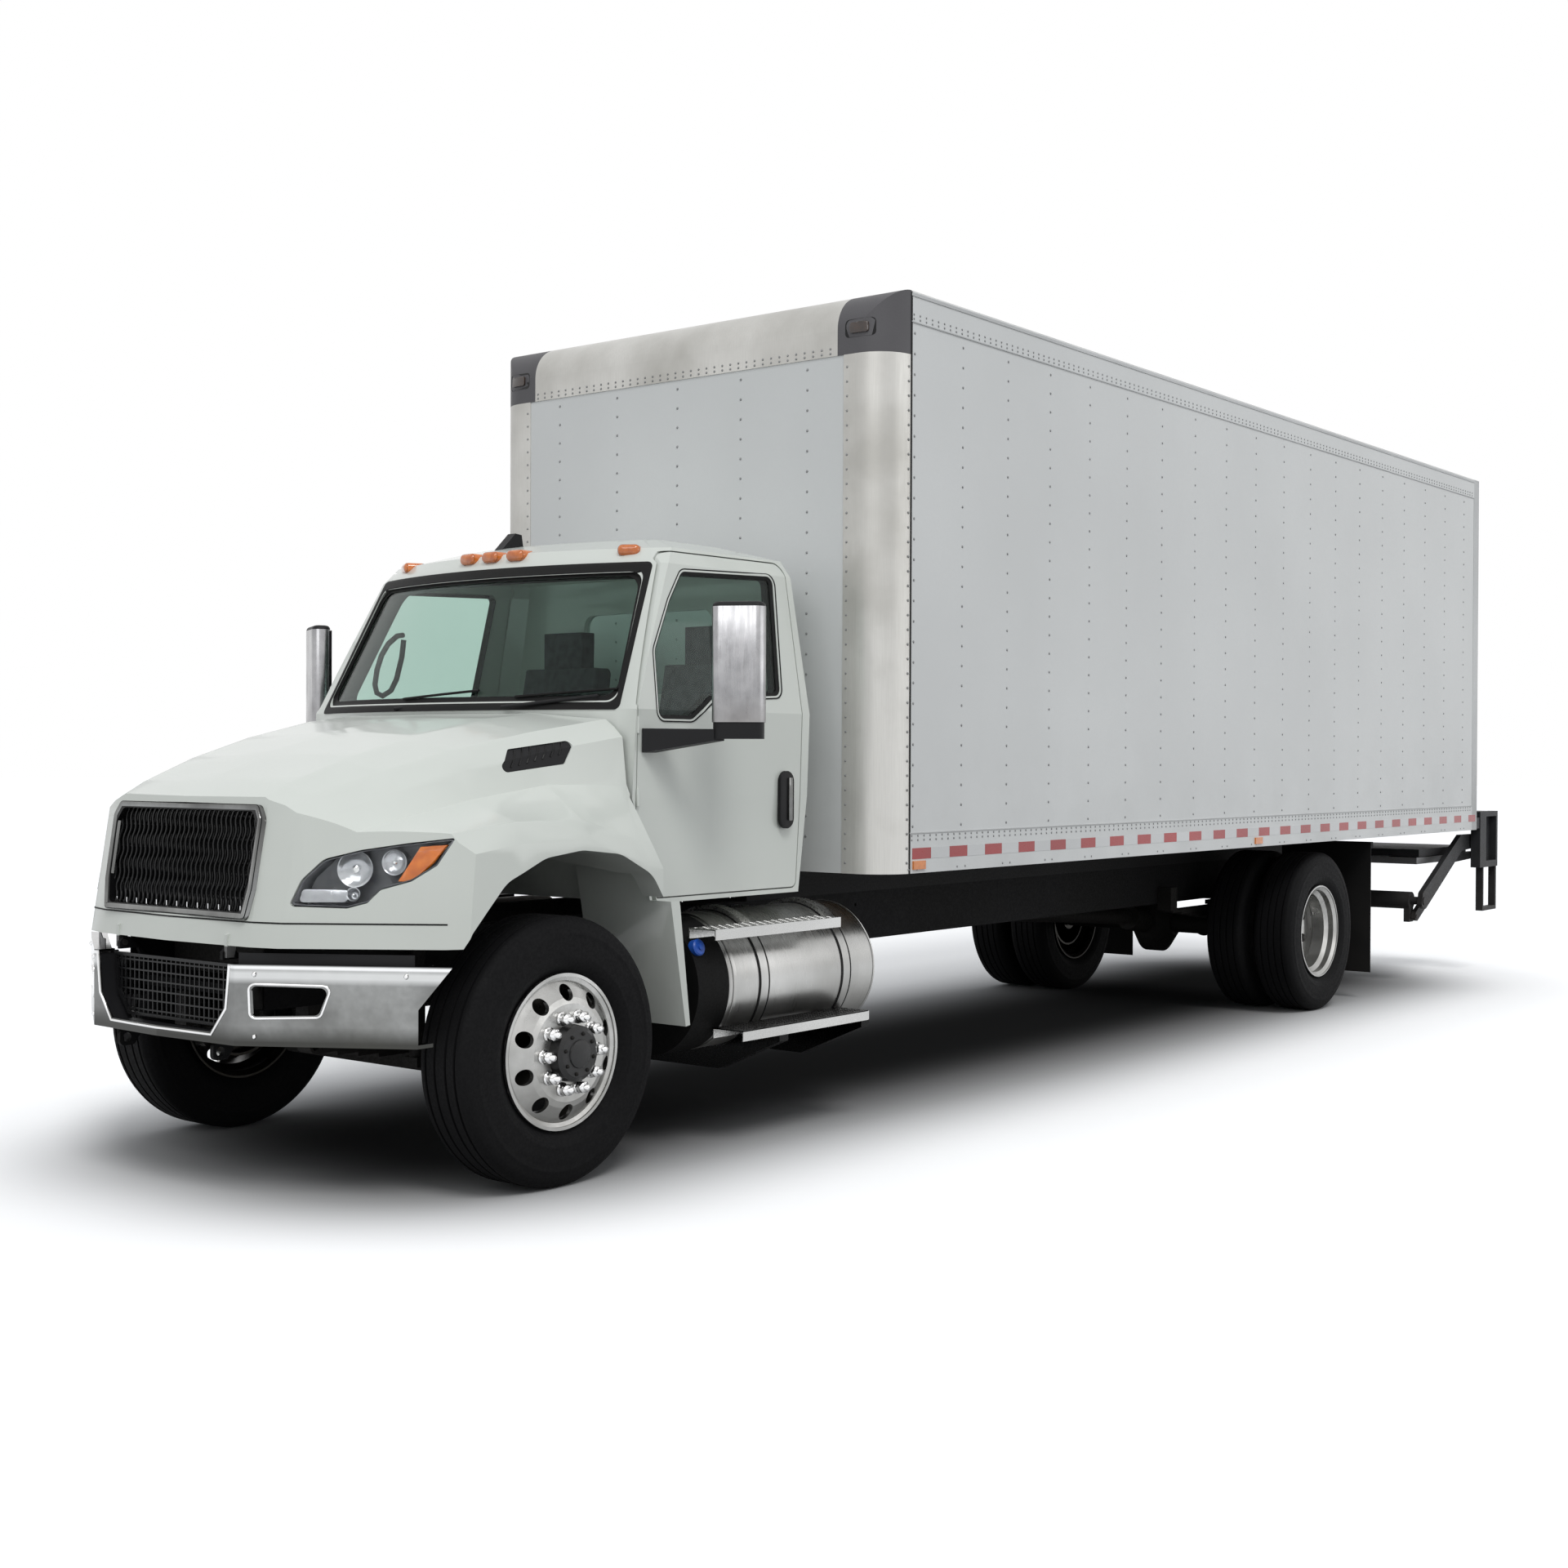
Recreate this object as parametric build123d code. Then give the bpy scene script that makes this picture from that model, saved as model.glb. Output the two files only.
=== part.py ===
from build123d import *
import math
import os

os.makedirs("parts", exist_ok=True)

# Conventional-cab box truck with a 26 ft dry-freight body and a tuck-under lift gate.
# Millimetres. +X forward, +Y to the left, +Z up, origin on the ground at the middle of
# the overall length and width.

# ---------------------------------------------------------------- driving dimensions
FRONT_OVERHANG = 1050.0  # front axle to the bumper's face
WHEELBASE = 7030.0
REAR_OVERHANG = 3350.0  # rear axle to the rear of the dock steps
OVERALL = FRONT_OVERHANG + WHEELBASE + REAR_OVERHANG
AXLE_F = OVERALL / 2 - FRONT_OVERHANG
AXLE_R = AXLE_F - WHEELBASE

TYRE_R = 527.0
TYRE_W = 279.0
AXLE_Z = TYRE_R
RIM_R = 305.0
RIM_W = 236.0
RIM_T = 9.0
DISC_T = 14.0
SEAT_R = 284.0
WELL_R = 258.0
FRONT_FACE = 152.0  # convex disc face, outboard of the rim's centre
DRUM_R = 208.0
REAR_SPINDLE_R = 52.0
FRONT_WHEEL_Y = 1002.0
REAR_OUTER_Y = 1101.0
DUAL_SPACING = 335.0
REAR_INNER_Y = REAR_OUTER_Y - DUAL_SPACING
DUAL_MID_Y = (REAR_OUTER_Y + REAR_INNER_Y) / 2
HAND_HOLES = 10
HAND_HOLE_R = 32.0
HAND_HOLE_PCR = 232.0
NUTS = 10
NUT_PCR = 142.9
NUT_R = 19.0
NUT_L = 40.0
HUB_R = 110.0
KINGPIN_Y = 850.0

RAIL_OUT_Y = 430.0
RAIL_FLANGE = 75.0
RAIL_T = 9.0
RAIL_Z0 = 716.0
RAIL_Z1 = 970.0
RAIL_FRONT_D = 880.0  # ahead of the front axle
RAIL_REAR_D = -8930.0  # behind the front axle
GAP = 1.0  # between neighbouring parts that don't share a face
SHUT = 6.0  # shut line round a door or the hood

BODY_W = 2591.0
BODY_FRONT_D = -1913.0
BODY_REAR_D = -9868.0
BODY_Z0 = 1132.0
BODY_Z1 = 3851.0
FLOOR_Z = 1270.0
FLOOR_T = 35.0
SIDE_T = 46.0
SHEET_T = 4.0
POST_PITCH = 412.0
POST_W = 60.0
NOSE_R = 180.0  # rounded front corners and header
ROOF_T = 40.0
BOTTOM_RAIL_Z1 = 1320.0
TOP_RAIL_Z0 = 3708.0
REAR_FRAME_L = 110.0
REAR_POST_W = 95.0
DOOR_T = 30.0

CAB_WALL = 42.0
GLASS_T = 6.0


# ---------------------------------------------------------------- helpers
def at(d):
    """X of a station d ahead of the front axle."""
    return AXLE_F + d


def box(x0, x1, y0, y1, z0, z1):
    size = (abs(x1 - x0), abs(y1 - y0), abs(z1 - z0))
    return Pos((x0 + x1) / 2, (y0 + y1) / 2, (z0 + z1) / 2) * Box(*size)


def face_of(pts, radii=None):
    if radii is None:
        return Face(Wire.make_polygon([Vector(*p) for p in pts], close=True))
    line = FilletPolyline(*[Vector(*p) for p in pts], radius=radii, close=True)
    return Face(Wire(line.edges()))


def prism_y(pts, y0, y1, radii=None):
    """Extrude an XZ outline from y0 to y1."""
    face = face_of([(x, y0, z) for x, z in pts], radii)
    return Solid.extrude(face, Vector(0, y1 - y0, 0))


def prism_x(pts, x0, x1, radii=None):
    """Extrude a YZ outline from x0 to x1."""
    face = face_of([(x0, y, z) for y, z in pts], radii)
    return Solid.extrude(face, Vector(x1 - x0, 0, 0))


def prism_z(pts, z0, z1, radii=None):
    """Extrude an XY outline from z0 to z1."""
    face = face_of([(x, y, z0) for x, y in pts], radii)
    return Solid.extrude(face, Vector(0, 0, z1 - z0))


def rod(p, q, r):
    """Round bar between two points."""
    a = Vector(*p)
    b = Vector(*q)
    return Solid.make_cylinder(r, (b - a).length, Plane(origin=a, z_dir=b - a))


def pipe(p, q, r, wall):
    return rod(p, q, r) - rod(p, q, r - wall)


def turned(profile, x, y, z):
    """Revolve an (offset along Y, radius) outline round the Y axis through (x, y, z)."""
    face = face_of([(x, y + o, z + r) for o, r in profile])
    return Solid.revolve(face, 360, Axis((x, y, z), (0, 1, 0)))


def flip(shape):
    """The same shape on the right side."""
    return shape.mirror(Plane.XZ)


def both(shape):
    return [shape, flip(shape)]


def solids_of(items):
    out = []
    for item in items:
        if isinstance(item, (list, tuple)):
            out += solids_of(item)
        else:
            out += list(item.solids())
    return out


def boxes_meet(a, b):
    """Whether two solids' bounding boxes touch."""
    p = a.bounding_box()
    q = b.bounding_box()
    slack = 0.01
    return all((p.min.X - slack <= q.max.X, q.min.X - slack <= p.max.X,
                p.min.Y - slack <= q.max.Y, q.min.Y - slack <= p.max.Y,
                p.min.Z - slack <= q.max.Z, q.min.Z - slack <= p.max.Z))


def packed(parts):
    """One solid as it is, several as a compound."""
    return parts[0] if len(parts) == 1 else Compound(children=parts)


def join(*items):
    """Fuse every solid with the ones it meets; a union that loses material is refused."""
    out = []
    for part in solids_of(items):
        near = [s for s in out if boxes_meet(s, part)]
        far = [s for s in out if not boxes_meet(s, part)]
        merged = solids_of([part.fuse(*near)]) if near else [part]
        biggest = max([part.volume] + [s.volume for s in near])
        if sum(s.volume for s in merged) < 0.999 * biggest:
            raise ValueError("a union lost material")
        out = far + merged
    return packed(out)


def less(items, *tools):
    """Every solid of items with the tools cut out of it."""
    out = []
    for part in solids_of([items]):
        near = [t for t in solids_of(tools) if boxes_meet(t, part)]
        out += solids_of([part.cut(*near)]) if near else [part]
    return packed(out)


def common(items, tool):
    """What every solid of items shares with the tool."""
    out = []
    for part in solids_of([items]):
        shared = part & tool
        out += solids_of([shared]) if shared is not None else []
    return packed(out)


def save(name, *items):
    export_step(packed(solids_of(items)), "parts/" + name + ".step")


# ---------------------------------------------------------------- chassis frame
def rail():
    y0 = RAIL_OUT_Y - RAIL_FLANGE
    web = RAIL_OUT_Y - RAIL_T
    outline = [
        (y0, RAIL_Z0),
        (RAIL_OUT_Y, RAIL_Z0),
        (RAIL_OUT_Y, RAIL_Z1),
        (y0, RAIL_Z1),
        (y0, RAIL_Z1 - RAIL_T),
        (web, RAIL_Z1 - RAIL_T),
        (web, RAIL_Z0 + RAIL_T),
        (y0, RAIL_Z0 + RAIL_T),
    ]
    return prism_x(outline, at(RAIL_REAR_D), at(RAIL_FRONT_D))


GEARBOX_R = 150.0
GEARBOX_Z = 862.0
SHAFT_R = 52.0
SHAFT_CLEAR = 25.0
SHAFT_A = (-1251.0, GEARBOX_Z, -3900.0, 790.0)  # front and rear ends as station, height
SHAFT_B = (-3901.0, 790.0, -WHEELBASE + 450.0, AXLE_Z + 61.0)
CROSS_D = [-1750.0, -3300.0, -4700.0, -5900.0, -8300.0]
CROSS_W = 90.0
CROSS_Z0 = RAIL_Z0 + 30.0
CROSS_Z1 = RAIL_Z1 - 30.0
WEB_IN = RAIL_OUT_Y - RAIL_T


def crossmember(d):
    x = at(d)
    outer = box(x - CROSS_W / 2, x + CROSS_W / 2, -WEB_IN, WEB_IN, CROSS_Z0, CROSS_Z1)
    pocket = box(x - CROSS_W / 2 + RAIL_T, x + CROSS_W / 2, -WEB_IN + RAIL_T, WEB_IN - RAIL_T,
                 CROSS_Z0 + RAIL_T, CROSS_Z1 - RAIL_T)
    bores = []
    for d0, z0, d1, z1 in (SHAFT_A, SHAFT_B):
        bores.append(rod((at(d0), 0, z0), (at(d1), 0, z1), SHAFT_R + SHAFT_CLEAR))
    return less(outer - pocket, bores)


FRONT_CROSS = box(at(800), at(RAIL_FRONT_D), -WEB_IN, WEB_IN, 760, 800)
HOOD_PIVOT_D = 975.0
HOOD_PIVOT_Z = 935.0
HOOD_PIVOT_Y = 330.0
PIN_R = 12.0
bracket = prism_y(
    [(at(800), 800), (at(RAIL_FRONT_D), 800), (at(RAIL_FRONT_D) + 35, HOOD_PIVOT_Z - 24),
     (at(HOOD_PIVOT_D) + 22, HOOD_PIVOT_Z - 24), (at(HOOD_PIVOT_D) + 22, HOOD_PIVOT_Z + 4),
     (at(HOOD_PIVOT_D) + 4, HOOD_PIVOT_Z + 22), (at(HOOD_PIVOT_D) - 22, HOOD_PIVOT_Z + 22)],
    HOOD_PIVOT_Y - 8, HOOD_PIVOT_Y + 8)
pin_hole = rod((at(HOOD_PIVOT_D), 200, HOOD_PIVOT_Z), (at(HOOD_PIVOT_D), 500, HOOD_PIVOT_Z),
               PIN_R + 0.6)
bracket = bracket - pin_hole
TOW_Y = 300.0
TOW_T = 20.0
TOW_HOLE_R = 18.0
TOW_D = 985.0
TOW_Z = 566.0
TOW_H = 32.0
tow = prism_y([(at(800), 760), (at(RAIL_FRONT_D), 760), (at(930), TOW_Z + TOW_H),
               (at(TOW_D) + TOW_H, TOW_Z + TOW_H), (at(TOW_D) + TOW_H, TOW_Z - TOW_H),
               (at(TOW_D) - TOW_H, TOW_Z - TOW_H)],
              TOW_Y - TOW_T / 2, TOW_Y + TOW_T / 2, [0, 0, 10, 20, 20, 20])
tow = tow - rod((at(TOW_D), 200, TOW_Z), (at(TOW_D), 400, TOW_Z), TOW_HOLE_R)
KIT_D = -2650.0
KIT_X = 400.0
KIT_Z = 120.0
KIT_HOLE_R = 8.5
kit_holes = []
for sx in (-1, 1):
    for sz in (-1, 1):
        x = at(KIT_D) + sx * KIT_X / 2
        z = (RAIL_Z0 + RAIL_Z1) / 2 + sz * KIT_Z / 2
        kit_holes.append(rod((x, RAIL_OUT_Y - 30, z), (x, RAIL_OUT_Y + 10, z), KIT_HOLE_R))
        kit_holes.append(rod((x, -RAIL_OUT_Y - 10, z), (x, -RAIL_OUT_Y + 30, z), KIT_HOLE_R))
rails = [less(rail(), kit_holes), less(flip(rail()), kit_holes)]
front_piece = join(FRONT_CROSS, both(bracket), both(tow))
save("frame_rails", rails, front_piece, [crossmember(d) for d in CROSS_D])

# ---------------------------------------------------------------- front axle and springs
SPRING_Y = 390.0
SPRING_W = 80.0
LEAF_T = 16.0
BEAM_H = 95.0
BEAM_W = 110.0
BEAM_DROP = 95.0
BEAM_FLAT = 125.0  # level stretch of the beam inboard of each kingpin
BOSS_R = 38.0  # round end of the beam, inside the knuckle's yoke
KINGPIN_R = 25.0
PIN_PLAY = 0.6  # radial play of pins that turn in another part's hole


def beam():
    x0 = at(-BEAM_W / 2)
    x1 = at(BEAM_W / 2)
    low = AXLE_Z - BEAM_DROP
    end = KINGPIN_Y + 4
    flat = KINGPIN_Y - BEAM_FLAT
    half = BEAM_H / 2
    top = [(-end, AXLE_Z + half), (-end, AXLE_Z - half), (-flat, AXLE_Z - half),
           (-500, low - half), (500, low - half), (flat, AXLE_Z - half), (end, AXLE_Z - half),
           (end, AXLE_Z + half), (flat, AXLE_Z + half), (500, low + half), (-500, low + half),
           (-flat, AXLE_Z + half)]
    body = prism_x(top, x0, x1)
    for side in (1, -1):
        y = side * KINGPIN_Y
        body = body + rod((at(0), y, AXLE_Z - half), (at(0), y, AXLE_Z + half), BOSS_R)
        body = body - rod((at(0), y, 300), (at(0), y, 700), KINGPIN_R + PIN_PLAY)
    return body


def leaf_pack(d, y, half, z, n):
    """Stack of n straight leaves, shorter towards the bottom."""
    out = []
    for i in range(n):
        span = half * (1 - 0.16 * i)
        z1 = z - i * LEAF_T
        out.append(box(at(d - span), at(d + span), y - SPRING_W / 2, y + SPRING_W / 2,
                       z1 - LEAF_T, z1))
    return join(out)


FRONT_SPRING_Z = AXLE_Z - BEAM_DROP + BEAM_H / 2 + 4 * LEAF_T
front_pack = leaf_pack(0, SPRING_Y, 640, FRONT_SPRING_Z, 4)
front_eyes = []
for d in (640, -640):
    eye = pipe((at(d), SPRING_Y - 40, FRONT_SPRING_Z + 12), (at(d), SPRING_Y + 40,
               FRONT_SPRING_Z + 12), 28, 12)
    hanger = box(at(d) - 35, at(d) + 35, SPRING_Y - 38, SPRING_Y + 38, FRONT_SPRING_Z + 30,
                 RAIL_Z0)
    front_eyes += [eye, hanger]
shock = rod((at(180), 480, 470), (at(180), 480, 900), 32)
shock_foot = box(at(40), at(215), 440, 520, 430, 470)
clamp = box(at(-70), at(70), SPRING_Y - 62, SPRING_Y + 62, FRONT_SPRING_Z, FRONT_SPRING_Z + 26)
front_left = join(front_pack, front_eyes, clamp)
save("front_axle", join(beam(), front_left, flip(front_left)), both(join(shock, shock_foot)))

# ---------------------------------------------------------------- rear axle and springs
REAR_SPRING_Y = 482.0
axle_tube = rod((AXLE_R, -690, AXLE_Z), (AXLE_R, 690, AXLE_Z), 68)
axle_ends = rod((AXLE_R, -DUAL_MID_Y - 90, AXLE_Z), (AXLE_R, DUAL_MID_Y + 90, AXLE_Z),
                REAR_SPINDLE_R)
bowl = turned([(-150, 0), (-150, 90), (-60, 205), (60, 205), (150, 90), (150, 0)],
              AXLE_R, 0, AXLE_Z)
nose = rod((AXLE_R + 100, 0, AXLE_Z), (AXLE_R + 420, 0, AXLE_Z + 55), 85)
REAR_SPRING_Z = AXLE_Z + 68 + 5 * LEAF_T
rear_pack = leaf_pack(-WHEELBASE, REAR_SPRING_Y, 760, REAR_SPRING_Z, 5)
rear_hang = []
for d in (760, -760):
    rear_hang.append(box(AXLE_R + d - 45, AXLE_R + d + 45, RAIL_OUT_Y, REAR_SPRING_Y + 45,
                         REAR_SPRING_Z, REAR_SPRING_Z + 150))
rear_clamp = box(AXLE_R - 90, AXLE_R + 90, REAR_SPRING_Y - 62, REAR_SPRING_Y + 62,
                 REAR_SPRING_Z, REAR_SPRING_Z + 30)
rear_left = join(rear_pack, rear_hang, rear_clamp)
chambers = both(rod((AXLE_R - 110, 300, AXLE_Z - 20), (AXLE_R - 260, 300, AXLE_Z + 30), 78))
save("rear_axle", join(axle_tube, axle_ends, bowl, nose, rear_left, flip(rear_left), chambers))

# ---------------------------------------------------------------- engine, radiator, driveline
engine = box(at(-300), at(560), -310, 310, 800, 1440)
radiator = box(at(640), at(730), -350, 350, 812, 1440)
gearbox = rod((at(-300), 0, GEARBOX_Z), (at(-1250), 0, GEARBOX_Z), GEARBOX_R)
shafts = []
for d0, z0, d1, z1 in (SHAFT_A, SHAFT_B):
    shafts.append(rod((at(d0), 0, z0), (at(d1), 0, z1), SHAFT_R))
save("powertrain", join(engine, gearbox), radiator, shafts)
canister = rod((at(-800), -720, 800), (at(-1700), -720, 800), 165)
tail_pipe = rod((at(-1701), -720, 800), (at(-2700), -640, 790), 58)
stay = box(at(-1300), at(-1260), -RAIL_OUT_Y - 130, -RAIL_OUT_Y, 800, 900)
save("exhaust", join(canister, stay), tail_pipe)

# ---------------------------------------------------------------- tanks, steps, battery box
TANK_R = 300.0
TANK_Y = 820.0
TANK_Z = 690.0
TANK_D0 = -1010.0
TANK_D1 = -2085.0
STRAP_D = [-1240.0, -1840.0]
STRAP_W = 50.0
STRAP_T = 4.0
tank = rod((at(TANK_D0), TANK_Y, TANK_Z), (at(TANK_D1), TANK_Y, TANK_Z), TANK_R)
tank = fillet(tank.edges().filter_by(GeomType.CIRCLE), 45)
straps = []
for d in STRAP_D:
    straps.append(pipe((at(d - STRAP_W / 2), TANK_Y, TANK_Z),
                       (at(d + STRAP_W / 2), TANK_Y, TANK_Z), TANK_R + STRAP_T, STRAP_T))
save("fuel_tank", tank, straps)
DEF_D0 = -800.0
DEF_D1 = -1000.0
def_tank = rod((at(DEF_D0), TANK_Y, TANK_Z), (at(DEF_D1), TANK_Y, TANK_Z), TANK_R)
def_neck = rod((at(-838), 1000, 845), (at(-838), 1085, 868), 28)
save("def_tank", join(def_tank, def_neck))

STEP_T = 5.0
STEP_LIP = 45.0


def step_plate(d0, d1, y0, y1, z):
    top = box(at(d0), at(d1), y0, y1, z - STEP_T, z)
    lip = box(at(d0), at(d1), y1 - STEP_T, y1, z - STEP_LIP, z - STEP_T)
    back = box(at(d0), at(d1), y0, y0 + STEP_T, z - STEP_LIP, z - STEP_T)
    return join(top, lip, back)


UPPER_STEP_Z = 950.0
LOWER_STEP_Z = 515.0
upper = step_plate(-815, -1690, 1050, 1200, UPPER_STEP_Z)
lower = step_plate(-950, -1850, 1070, 1240, LOWER_STEP_Z)
SADDLE_W = 60.0
SADDLE_R = TANK_R + STRAP_T + 0.5
ARC_T = 18.0
saddle_outline = [(RAIL_OUT_Y, RAIL_Z1 - 10), (RAIL_OUT_Y, TANK_Z - TANK_R - 100),
                  (880, TANK_Z - TANK_R - 100), (1230, LOWER_STEP_Z - 75),
                  (1230, LOWER_STEP_Z - STEP_T), (TANK_Y, LOWER_STEP_Z - STEP_T),
                  (TANK_Y, RAIL_Z1 - 10)]
brackets = []
for d in STRAP_D:
    x0 = at(d - SADDLE_W / 2)
    x1 = at(d + SADDLE_W / 2)
    bore = rod((x0 - 5, TANK_Y, TANK_Z), (x1 + 5, TANK_Y, TANK_Z), SADDLE_R)
    arc = pipe((x0, TANK_Y, TANK_Z), (x1, TANK_Y, TANK_Z), SADDLE_R + ARC_T, ARC_T)
    arc = arc & box(x0 - 5, x1 + 5, 540, 1054, 855, 1100)
    brackets.append(join(prism_x(saddle_outline, x0, x1) - bore, arc))
save("tank_steps", join(upper, lower, brackets))

case = box(at(-820), at(-1680), -1120, -905, 560, 960)
right_step = flip(step_plate(-840, -1660, 1125, 1230, 515))
right_stay = box(at(-1200), at(-1300), -1125, -1000, 470, 560)
air_tank = rod((at(-2300), -640, 590), (at(-3100), -640, 590), 130)
air_stay = box(at(-2750), at(-2710), -580, -RAIL_OUT_Y, 700, 740)
save("battery_box", join(case, right_stay, right_step), join(air_tank, air_stay))

# ---------------------------------------------------------------- front bumper
BUMPER_Z0 = 605.0
BUMPER_Z1 = 905.0
BUMPER_T = 6.0
BUMPER_DEPTH = 70.0
BUMPER_FACE = [(0.0, FRONT_OVERHANG), (450.0, 1028.0), (880.0, 768.0), (1150.0, 600.0)]


def bumper_outline(inset, depth):
    """Plan outline of a band that follows the bumper's face, inset by a distance."""
    outer = [(at(d) - inset, y) for y, d in BUMPER_FACE]
    inner = [(at(d) - depth, y - (0 if y == 0 else 12)) for y, d in BUMPER_FACE]
    half = outer + inner[::-1]
    return half[:-1], outer, inner


def band(inset, depth, z0, z1):
    _, outer, inner = bumper_outline(inset, depth)
    right_outer = [(x, -y) for x, y in outer[:0:-1]]
    right_inner = [(x, -y) for x, y in inner[1:]]
    pts = right_outer + outer + inner[::-1] + right_inner
    return prism_z(pts, z0, z1)


bumper = band(0, BUMPER_DEPTH, BUMPER_Z0, BUMPER_Z1)
bumper = bumper - band(BUMPER_T, BUMPER_DEPTH + 20, BUMPER_Z0 + 14, BUMPER_Z1 - 14)
centre_cut = prism_x([(-415, BUMPER_Z1 + 1), (-395, 740), (-316, 645), (316, 645), (395, 740),
                      (415, BUMPER_Z1 + 1)], at(900), at(1100))
end_cut = prism_y([(at(500), BUMPER_Z1 + 5), (at(596), BUMPER_Z1 + 5), (at(730), BUMPER_Z0 - 5),
                   (at(500), BUMPER_Z0 - 5)], 1040, 1250)
fog_cut = prism_x([(505, 826), (760, 822), (725, 722), (510, 714)], at(780), at(1100),
                  [18, 22, 22, 14])
bumper = bumper - centre_cut - end_cut - flip(end_cut) - fog_cut - flip(fog_cut)
bumper_stay = box(at(RAIL_FRONT_D), at(958), 345, 425, 725, 890)
save("front_bumper", bumper, both(bumper_stay))

MESH_X = 958.0
mesh_frame = prism_x([(-400, 895), (-380, 745), (-306, 655), (306, 655), (380, 745), (400, 895)],
                     at(MESH_X + 2), at(MESH_X + 14))
mesh_hole = prism_x([(-385, 883), (-366, 750), (-300, 667), (300, 667), (366, 750), (385, 883)],
                    at(MESH_X), at(MESH_X + 20))
mesh_bars = []
for i in range(-12, 13):
    mesh_bars.append(box(at(MESH_X + 3), at(MESH_X + 8), i * 30 - 3, i * 30 + 3, 655, 895))
for i in range(6):
    z = 680 + i * 38
    mesh_bars.append(box(at(MESH_X + 3), at(MESH_X + 8), -390, 390, z - 3, z + 3))
mesh_fill = join(mesh_bars) & prism_x([(-392, 888), (-373, 748), (-303, 662), (303, 662),
                                       (373, 748), (392, 888)], at(MESH_X), at(MESH_X + 30))
save("bumper_mesh", join(mesh_frame - mesh_hole, mesh_fill))

# ---------------------------------------------------------------- splash panels and mudflaps
DOOR_LOW_Z = 1085.0
SPLASH_STEP_Y = 1040.0  # above the door's lower edge the panel stops short of the door's sweep
splash = prism_y([(at(-552), 1222), (at(-566), 1222), (at(-600), 1060), (at(-690), 560),
                  (at(-678), 556), (at(-586), 1060)], 640, 1150)
splash_side = prism_y([(at(-552), 1222), (at(-600), 1222), (at(-640), 1060), (at(-705), 560),
                       (at(-678), 556), (at(-586), 1060)], 1150, 1156)
door_sweep = box(at(-720), at(-500), SPLASH_STEP_Y, 1200, DOOR_LOW_Z - SHUT, 1300)
FLAP_D = -7800.0
flap = box(at(FLAP_D) - 6, at(FLAP_D), 600, 1262, 188, 1060)
flap_bar = box(at(FLAP_D) - 40, at(FLAP_D), RAIL_OUT_Y, 1262, 1060, 1100)
save("splash_panels", both(less(join(splash, splash_side), door_sweep)))
save("mudflaps", both(join(flap, flap_bar)))

# ---------------------------------------------------------------- cab
# One row per level: z, front at the middle, front corner (d, y), pillar (d, y), rear d.
CAB_ROWS = [
    (1060.0, -660.0, -662.0, 880.0, -672.0, 1000.0, -1700.0),
    (1500.0, -375.0, -480.0, 945.0, -492.0, 1022.0, -1735.0),
    (1870.0, -325.0, -486.0, 943.0, -508.0, 1030.0, -1742.0),
    (2500.0, -632.0, -782.0, 848.0, -822.0, 922.0, -1732.0),
    (2575.0, -690.0, -848.0, 800.0, -884.0, 884.0, -1704.0),
    (2640.0, -930.0, -1030.0, 590.0, -1070.0, 640.0, -1520.0),
]
CORNER = 70.0


def cab_ring(row, t):
    """Closed plan outline of the cab at one level, moved inwards by t."""
    z, xc, xs, ys, xp, yp, xr = row
    if t:
        xc = xc - t
        xs = xs - t
        ys = ys - t * 0.8
        xp = xp - t
        yp = yp - t
        xr = xr + t
    c = CORNER
    arc = ThreePointArc((at(xs), ys, z), (at(xc), 0, z), (at(xs), -ys, z))
    pts = [(at(xs), -ys, z), (at(xp), -yp, z), (at(xr + c), -yp, z), (at(xr), -yp + c, z),
           (at(xr), yp - c, z), (at(xr + c), yp, z), (at(xp), yp, z), (at(xs), ys, z)]
    lines = [Line(pts[i], pts[i + 1]) for i in range(len(pts) - 1)]
    return Wire([arc.edge()] + [ln.edge() for ln in lines])


def cab_solid(t, low, high):
    rows = [list(r) for r in CAB_ROWS]
    rows[0][0] += low
    rows[-1][0] -= high
    rows[-2][0] -= high * 0.8
    rows[-3][0] -= high * 0.4
    return Solid.make_loft([cab_ring(r, t) for r in rows], ruled=True)


cab_outer = cab_solid(0, 0, 0)
cab_inner = cab_solid(CAB_WALL, 50, CAB_WALL)
shell = cab_outer - cab_inner

DOOR_PTS = [(at(-672), DOOR_LOW_Z), (at(-600), 1215), (at(-520), 1420), (at(-520), 1880),
            (at(-830), 2552), (at(-1622), 2558), (at(-1605), 1085)]
DOOR_RADII = [20, 60, 60, 40, 60, 60, 30]


def grow(pts, s):
    """Move an outline's points outwards from its centre by about s."""
    cx = sum(p[0] for p in pts) / len(pts)
    cz = sum(p[1] for p in pts) / len(pts)
    out = []
    for x, z in pts:
        sx = 1 if x > cx else -1
        sz = 1 if z > cz else -1
        out.append((x + s * sx, z + s * sz))
    return out


SIDE_ZONE = [(958.0, 1000.0), (1200.0, 1000.0), (1200.0, 2590.0), (838.0, 2590.0),
             (958.0, 1900.0)]
side_zone = prism_x(SIDE_ZONE, at(-1800), at(-400))
hole_zone = prism_x([(y - (SHUT if y < 1200 else 0), z) for y, z in SIDE_ZONE], at(-1800), at(-400))
door_hole = prism_y(grow(DOOR_PTS, SHUT), 700, 1200, DOOR_RADII) & hole_zone
door_blank = prism_y(DOOR_PTS, 700, 1200, DOOR_RADII) & side_zone
WINDOW_PTS = [(at(-640), 1832), (at(-860), 1832), (at(-1005), 1925), (at(-1474), 1950),
              (at(-1530), 2494), (at(-900), 2470), (at(-796), 2338), (at(-664), 2120)]
WINDOW_RADII = [40, 60, 60, 40, 40, 50, 60, 80]
window_cut = prism_y(WINDOW_PTS, 700, 1200, WINDOW_RADII)

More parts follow.
